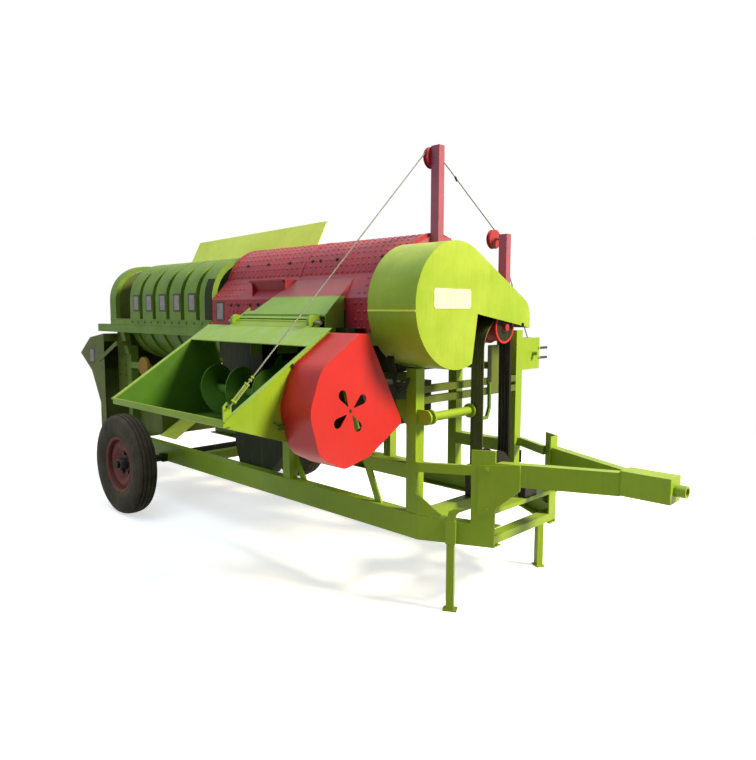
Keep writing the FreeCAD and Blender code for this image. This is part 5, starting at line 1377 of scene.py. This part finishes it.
# ---- drive -----------------------------------------------------------------------------
@dataclass
class Drive:
    """Vee belts, idler face, sprocket teeth, bearing studs and the belt guard's trim.

    Attributes:
        rules: Rules for what repeats.
        belts: Number of belts in a set.
        belt_height: Height of a belt's section.
        pto: Input pulley's middle (y, z) and its belts' radius.
        jack: The same for the idler.
        drum: The same for the drum pulley.
        slack_bend: Radius of the bend on the long belts' slack side.
        idler_shift: Idler's face, from the rear of the long belts.
        teeth: Number of the sprocket's teeth.
        tooth_root: Depth of a tooth's foot.
    """

    rules: Rules
    belts: int = 4
    belt_height: float = 11.5
    pto: tuple = (49.0, 600.0, 122.4)
    jack: tuple = (88.0, 1405.0, 76.4)
    drum: tuple = (-220.0, 1505.0, 153.4)
    slack_bend: float = 150.0
    idler_shift: float = 96.0
    teeth: int = 24
    tooth_root: float = 9.0

    def build(self) -> None:
        """Makes the drive's pieces."""
        self.vee_belts("long", self.long_path())
        self.vee_belts("short", self.short_path())
        self.jack_face()
        self.guard_trim()
        self.guard_seam()
        self.sprocket()
        self.bearings()

    def long_path(self) -> list[Flat]:
        """Leads the long belts round input pulley and idler, slack on the right.

        Returns:
            Inner line of a belt, as (y, z).
        """
        (py, pz, pr), (jy, jz, jr) = self.pto, self.jack
        span = math.hypot(jz - pz, jy - py)
        base = math.atan2(jz - pz, jy - py)
        a = base - math.acos((pr - jr) / span)
        leave = 0.75 * math.pi
        top = Vector((jy + jr * math.cos(leave), jz + jr * math.sin(leave)))
        start_y = py - pr
        knee = Vector((start_y, top.y - (top.x - start_y)))
        run, down = (top - knee).normalized(), Vector((0.0, -1.0))
        half = run.angle(down) / 2.0
        cut = self.slack_bend / math.tan(half)
        k1, k2 = knee + run * cut, knee + down * cut
        centre = knee + (run + down).normalized() * (self.slack_bend / math.sin(half))
        b1 = math.atan2(k1.y - centre.y, k1.x - centre.x)
        b2 = math.atan2(k2.y - centre.y, k2.x - centre.x)
        turn = (b2 - b1 + math.pi) % (FULL_TURN) - math.pi
        path = arc(py, pz, pr, math.pi, FULL_TURN + a, 30)
        path += arc(jy, jz, jr, a, leave, 24)
        return path + arc(centre.x, centre.y, self.slack_bend, b1, b1 + turn, 10)

    def short_path(self) -> list[Flat]:
        """Leads the short belts round the idler and the drum pulley.

        Returns:
            Inner line of a belt, as (y, z).
        """
        (dy, dz, dr), (jy, jz, jr) = self.drum, self.jack
        base = math.atan2(jz - dz, jy - dy)
        lean = math.acos((dr - jr) / math.hypot(jz - dz, jy - dy))
        path = arc(dy, dz, dr, base + lean, base + FULL_TURN - lean, 36)
        return path + arc(jy, jz, jr, base - lean, base + lean, 18)

    def vee_belts(self, name: str, path: list[Flat]) -> None:
        """Sweeps one vee belt along its line and repeats it across the pulley.

        Args:
            name: Name of the belt set.
            path: Inner line of the belt, as (y, z).
        """
        node = name + "_belts"
        x0, x1 = low(node).x, high(node).x
        pitch = (x1 - x0) / self.belts
        line = [Vector(p) for p in path]
        section = [(0.28, 0.0), (0.72, 0.0), (0.93, 0.75), (0.93, 1.0), (0.07, 1.0), (0.07, 0.75)]
        shape = Shape()
        rings = []
        for i, point in enumerate(line):
            along = (line[(i + 1) % len(line)] - line[i - 1]).normalized()
            out = Vector((along.y, -along.x))
            rings.append([shape.mesh.verts.new((x0 + pitch * across,
                                                *(point + out * self.belt_height * rise)))
                          for across, rise in section])
        shape.join(rings, closed=True)
        bmesh.ops.recalc_face_normals(shape.mesh, faces=shape.mesh.faces)
        for vert in shape.mesh.verts:
            vert.co = place(vert.co)
        seed = bpy.data.meshes.new(node)
        shape.mesh.to_mesh(seed)
        shape.mesh.free()
        self.rules.row.grow("vee_" + node, seed, Finishes.BELT, "chassis",
                            {"Count": self.belts, "Step": pitch * MM}, (node,))

    def jack_face(self) -> None:
        """Adds the rim ring, and a near-black disc that paints the shade in the idler pulley's recess."""
        y, z, _ = self.jack
        x = low("long_belts").x - 7.0 + self.idler_shift
        shape = Shape()
        shape.lathe(0, (x, y, z), [(0.0, 24.0), (0.0, 74.0), (1.2, 74.0), (1.2, 24.0)], 40)
        shape.piece("idler_recess_painted_shade", Finishes.DARK, "idler")
        shape = Shape()
        shape.lathe(0, (x, y, z), [(0.0, 74.0), (0.0, 87.0), (4.0, 86.0), (4.0, 76.0)], 40)
        shape.piece("idler_rim", Finishes.RED, "idler", smooth=True)

    def guard_trim(self) -> None:
        """Adds the blank plate on the belt guard."""
        x = high("belt_guard").x
        shape = Shape()
        shape.prism(0, [(-534.0, 1503.0), (-266.0, 1503.0), (-256.0, 1513.0), (-256.0, 1590.0),
                        (-266.0, 1600.0), (-534.0, 1600.0), (-544.0, 1590.0), (-544.0, 1513.0)],
                    x + 0.2, x + 1.6)
        shape.piece("guard_plate", Finishes.PLATE, "chassis", bevel=0.5)

    def guard_seam(self) -> None:
        """Adds the folded seam on the guard's rim, in the pale lime that is partly painted sunlight."""
        x0, x1 = low("belt_guard").x + 1.0, high("belt_guard").x - 1.0
        y = low("belt_guard").y
        shape = Shape()
        shape.prism(0, [(y + 0.4, 1488.0), (y - 2.6, 1490.0), (y - 2.6, 1496.0), (y + 0.4, 1498.0)], x0, x1)
        shape.piece("guard_seam", Finishes.PALE_LIME_PAINTED_SUNLIT, "chassis")

    def sprocket(self) -> None:
        """Sets the teeth round the shaker's sprocket."""
        lowest, highest = low("shaker_pulley"), high("shaker_pulley")
        x, z = (lowest.x + highest.x) / 2.0, (lowest.z + highest.z) / 2.0
        radius = (highest.x - lowest.x) / 2.0
        y = lowest.y + 12.0
        spots = []
        root = radius - self.tooth_root
        for k in range(self.teeth):
            turn = FULL_TURN * k / self.teeth
            way = (math.cos(turn), 0.0, math.sin(turn))
            spots.append(((x + root * way[0], y, z + root * way[2]), way))
        self.rules.studs.grow("sprocket_teeth", facing_points(spots), Finishes.OCHRE, "shaker_drive",
                              {"Head radius": 0.007, "Head height": 0.009, "Sides": 4, "Washer radius": 0.002,
                               "Washer height": 0.0005})

    def bearings(self) -> None:
        """Sets the two studs on the input shaft's front bearing."""
        x = high("lower_rails").x - 34.0
        spots = [((x, y, 638.0), (0.0, 0.0, 1.0)) for y in (14.0, 84.0)]
        self.rules.studs.grow("bearing_studs", facing_points(spots), Finishes.STEEL, "chassis",
                              {"Head radius": 0.008, "Head height": 0.022})


# ---- rigging ---------------------------------------------------------------------------
@dataclass
class Rigging:
    """Stranded lifting rope with its turnbuckle and clamp.

    Attributes:
        rules: Rules for what repeats.
        gap: Distance of the rope's middle line from what it touches.
        groove: Radius of a sheave's groove.
        right: Right sheave's middle (y, z), and the angles where the rope meets and leaves it.
        left: The same for the left sheave.
    """

    rules: Rules
    gap: float = 4.3
    groove: float = 46.0
    right: tuple = ((-183.0, 2296.0), (136.0, 58.6))
    left: tuple = ((395.0, 1916.0), (58.6, 11.0))

    def build(self) -> None:
        """Makes the rope and its fittings."""
        path = self.route()
        self.rules.strands.grow("stranded_rope", line_mesh([path]), Finishes.WIRE, "chassis",
                                {"Rope radius": 0.0019, "Strand radius": 0.0019, "Lay": 0.045},
                                ("lift_rope",), smooth=True)
        self.turnbuckle(Vector(path[0]), Vector(path[1]))
        shape = Shape()
        shape.tube([(2386.0, 17.0, 2227.0), (2386.0, 35.0, 2205.0)], 6.0, 8)
        shape.piece("rope_clamp", Finishes.IRON, "chassis", smooth=True)

    def route(self) -> list[Point]:
        """Leads the rope from the tray's eye over both sheaves to the winch.

        Returns:
            Points of the rope's middle line.
        """
        x = high("sheaves").x - 13.0
        r = self.groove + self.gap
        path = [(high("feed_tray").x + self.gap, -1414.0, 1084.0)]
        for (y, z), (start, end) in (self.right, self.left):
            path += [(x, *p) for p in arc(y, z, r, math.radians(start), math.radians(end), 10)]
        path.append((low("winch").x + 66.0, 640.0, 1237.0))
        return path

    def turnbuckle(self, start: Vector, end: Vector) -> None:
        """Adds the turnbuckle and the two grips above it.

        Args:
            start: Lower end of the rope.
            end: Point that the rope runs to.
        """
        way = (end - start).normalized()
        side = way.orthogonal().normalized()
        shape = Shape()
        for shift in (-7.0, 7.0):
            a = start + way * 34.0 + side * shift
            shape.tube([tuple(a), tuple(a + way * 92.0)], 3.5, 8)
        for along in (30.0, 126.0):
            a = start + way * along
            shape.tube([tuple(a - side * 12.0), tuple(a + side * 12.0)], 5.5, 8)
        for along in (150.0, 166.0):
            a = start + way * along
            shape.tube([tuple(a - side * 8.0), tuple(a + side * 8.0)], 5.0, 8)
        shape.piece("turnbuckle", Finishes.LIME, "chassis", smooth=True)


# ---- chassis ---------------------------------------------------------------------------
@dataclass
class ChassisDetails:
    """Bolts, welds, brackets, cables and the straw hood's plate.

    Attributes:
        rules: Rules for what repeats.
        rail_half: Distance of the rails' outer faces from the middle.
        rail_top: Height of the rails' upper faces.
        post_spans: Both ends of each post's foot along X.
    """

    rules: Rules
    rail_half: float = 481.0
    rail_top: float = 466.0
    post_spans: tuple = ((2485.0, 2549.0), (2043.0, 2107.0), (1465.0, 1529.0), (368.0, 432.0),
                         (-592.0, -528.0))

    def build(self) -> None:
        """Makes the details on both sides."""
        self.root_bolts()
        self.welds()
        self.brackets()
        self.cables()
        self.hood_plate()

    def root_bolts(self) -> None:
        """Sets the bolts of the drawbar's root plates."""
        spots = []
        for side in (-1.0, 1.0):
            for x, z in ((2868.0, 723.0), (2873.0, 523.0)):
                spots.append(seat("gusset_plates", (x, side * 600.0, z), (0.0, -side, 0.0)))
        self.rules.studs.grow("root_bolts", facing_points(spots), Finishes.LIME, "chassis",
                              {"Head radius": 0.012, "Head height": 0.009, "Washer radius": 0.018})

    def welds(self) -> None:
        """Lays weld beads where the posts and the hitch meet the frame."""
        paths = []
        for x0, x1 in self.post_spans:
            for y in (-self.rail_half, self.rail_half):
                paths.append([(x0, y, self.rail_top), (x1, y, self.rail_top)])
        hitch = low("hitch_head").x - 1.0
        for y in (-56.0, 56.0):
            paths.append([(hitch, y, 652.0), (hitch, y, 756.0)])
        self.rules.beads.grow("frame_welds", line_mesh(paths), Finishes.LIME, "chassis", smooth=True)

    def brackets(self) -> None:
        """Adds the bent bracket behind the belts and the thin rod on the deck."""
        shape = Shape()
        shape.prism(0, [(5.0, 900.0), (60.0, 900.0), (86.0, 960.0), (86.0, 1100.0), (70.0, 1100.0),
                        (70.0, 965.0), (50.0, 916.0), (5.0, 916.0)], 2590.0, 2606.0)
        shape.piece("bent_bracket", Finishes.DARKER_LIME, "chassis", bevel=1.5)
        shape = Shape()
        shape.tube([(2600.0, 405.0, 601.0), (2600.0, 405.0, 674.0)], 7.0)
        shape.piece("deck_rod", Finishes.IRON, "chassis", smooth=True)

    def cables(self) -> None:
        """Hangs the bundle of cables behind the red guard."""
        for number, (shift, drop) in enumerate(((0.0, 0.0), (16.0, 20.0), (30.0, 44.0))):
            path = [(2412.0 + shift, -536.0, 1290.0), (2430.0 + shift, -556.0, 1236.0),
                    (2462.0 + shift, -560.0, 1178.0), (2478.0, -556.0, 1118.0 + drop / 2.0),
                    (2500.0, -550.0, 1092.0 + drop), (2530.0, -540.0, 1110.0 + drop),
                    (2540.0, -520.0, 1160.0)]
            shape = Shape()
            shape.tube(path, 7.0, 8)
            shape.piece("hanging_cable_%d" % number, Finishes.DARK, "chassis", smooth=True)

    def hood_plate(self) -> None:
        """Adds the blank plate on the straw hood."""
        blank_plate("straw_hood_plate", (-992.0, low("straw_hood").y, 1110.0))


def dress_nodes() -> None:
    """Gives every CAD node its finish."""
    named = {node: finish for finish, nodes in DRESS.items() for node in nodes}
    for name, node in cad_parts.items():
        finish = named.get(name, Finishes.LIME).value
        for slot in node.material_slots:
            slot.material = finish.material()
        log.info("dressed %s in %s", name, finish.name)


# ---- studio ----------------------------------------------------------------------------
@dataclass
class Studio:
    """Floor, white surroundings, soft lamps and the camera."""

    camera_place: tuple = (3.5055, -2.7255, 1.494)
    camera_azimuth: float = 44.300
    camera_pitch: float = -5.879
    camera_roll: float = 0.145
    lens_mm: float = 32.147
    sensor_mm: float = 36.0
    floor_size: float = 80.0
    floor_colour: str = "#EFEFED"
    floor_bounce: str = "#8A8A82"
    floor_glow: float = 0.62
    fade_start: float = 2.6
    fade_end: float = 6.5
    sky: float = 0.28

    def build(self) -> None:
        """Makes the whole studio."""
        self.camera()
        self.floor()
        self.world()
        self.lamps()

    def camera(self) -> None:
        """Places the camera."""
        data = bpy.data.cameras.new("camera")
        data.sensor_fit = "HORIZONTAL"
        data.sensor_width = self.sensor_mm
        data.lens = self.lens_mm
        data.clip_end = 200.0
        camera = link("camera", data)
        turn = Euler((math.radians(90.0 + self.camera_pitch), 0.0, math.radians(self.camera_azimuth)))
        roll = Matrix.Rotation(math.radians(self.camera_roll), 4, "Z")
        camera.matrix_world = Matrix.Translation(self.camera_place) @ turn.to_matrix().to_4x4() @ roll
        bpy.context.scene.camera = camera

    def floor(self) -> None:
        """Lays the pale floor, near white to the camera and plainer to what it lights."""
        half = self.floor_size / 2.0
        mesh = bpy.data.meshes.new("floor")
        mesh.from_pydata([(-half, -half, 0.0), (half, -half, 0.0), (half, half, 0.0), (-half, half, 0.0)], [],
                         [(0, 1, 2, 3)])
        floor = link("floor", mesh)
        made = bpy.data.materials.new("pale_floor")
        tree = empty_tree(made)
        path = add_node(tree, "ShaderNodeLightPath")
        ground = add_node(tree, "ShaderNodeMix", {
            0: path.outputs["Is Diffuse Ray"], 6: linear(self.floor_colour), 7: linear(self.floor_bounce)},
            data_type="RGBA")
        matt = add_node(tree, "ShaderNodeBsdfDiffuse", {"Color": ground.outputs[2]})
        glow = add_node(tree, "ShaderNodeEmission", {"Color": WHITE, "Strength": self.floor_glow})
        both = add_node(tree, "ShaderNodeAddShader", {0: matt.outputs[0], 1: glow.outputs[0]})
        seen = add_node(tree, "ShaderNodeMath", {
            0: path.outputs["Is Camera Ray"], 1: path.outputs["Is Glossy Ray"]}, operation="MAXIMUM")
        spot = add_node(tree, "ShaderNodeTexCoord").outputs["Object"]
        reach = add_node(tree, "ShaderNodeVectorMath", {0: spot}, operation="LENGTH").outputs["Value"]
        fade = add_node(tree, "ShaderNodeMapRange", {
            "Value": reach, "From Min": self.fade_start, "From Max": self.fade_end})
        white = add_node(tree, "ShaderNodeEmission", {"Color": WHITE, "Strength": 1.0})
        near = add_node(tree, "ShaderNodeMixShader", {
            0: fade.outputs[0], 1: both.outputs[0], 2: white.outputs[0]})
        mix = add_node(tree, "ShaderNodeMixShader", {
            0: seen.outputs[0], 1: matt.outputs[0], 2: near.outputs[0]})
        add_node(tree, "ShaderNodeOutputMaterial", {"Surface": mix.outputs[0]})
        mesh.materials.append(made)

    def world(self) -> None:
        """Makes the surroundings white to the camera and plain to the object."""
        world = bpy.data.worlds.new("surroundings")
        tree = empty_tree(world)
        path = add_node(tree, "ShaderNodeLightPath")
        seen = add_node(tree, "ShaderNodeMath", {
            0: path.outputs["Is Camera Ray"], 1: path.outputs["Is Glossy Ray"]}, operation="MAXIMUM")
        strength = add_node(tree, "ShaderNodeMix", {0: seen.outputs[0], 2: self.sky, 3: 1.0})
        back = add_node(tree, "ShaderNodeBackground", {
            "Color": WHITE, "Strength": strength.outputs[0]})
        add_node(tree, "ShaderNodeOutputWorld", {"Surface": back.outputs[0]})
        bpy.context.scene.world = world

    def lamps(self) -> None:
        """Hangs the soft key, fill and top lamps."""
        for name, spot, aim, size, watts, tint in (
                ("key", (7.8, 3.4, 7.2), (0.6, 0.0, 1.1), 2.4, 1950.0, "#FFF1CC"),
                ("fill", (-1.5, -8.5, 3.5), (0.0, 0.0, 1.0), 6.0, 105.0, "#DCEAFF"),
                ("top", (-0.5, -2.5, 8.0), (0.0, 0.0, 1.0), 6.0, 270.0, "#D6E8FF")):
            data = bpy.data.lights.new(name, "AREA")
            data.shape = "DISK"
            data.size = size
            data.energy = watts
            data.color = linear(tint)[:3]
            lamp = link(name, data)
            lamp.location = spot
            lamp.rotation_euler = (Vector(aim) - Vector(spot)).to_track_quat("-Z", "Y").to_euler()


def main() -> None:
    """Builds the studio, dresses the machine and adds its details."""
    logging.basicConfig(level=logging.INFO, format="%(message)s")
    bpy.context.scene.view_settings.view_transform = "Standard"
    Studio().build()
    dress_nodes()
    rules = Rules()
    for part in (RunningGear, DrumHousing, Cage, Feeder, Drive, Rigging, ChassisDetails):
        part(rules).build()
    Deflector().build()


if __name__ == "__main__":
    main()
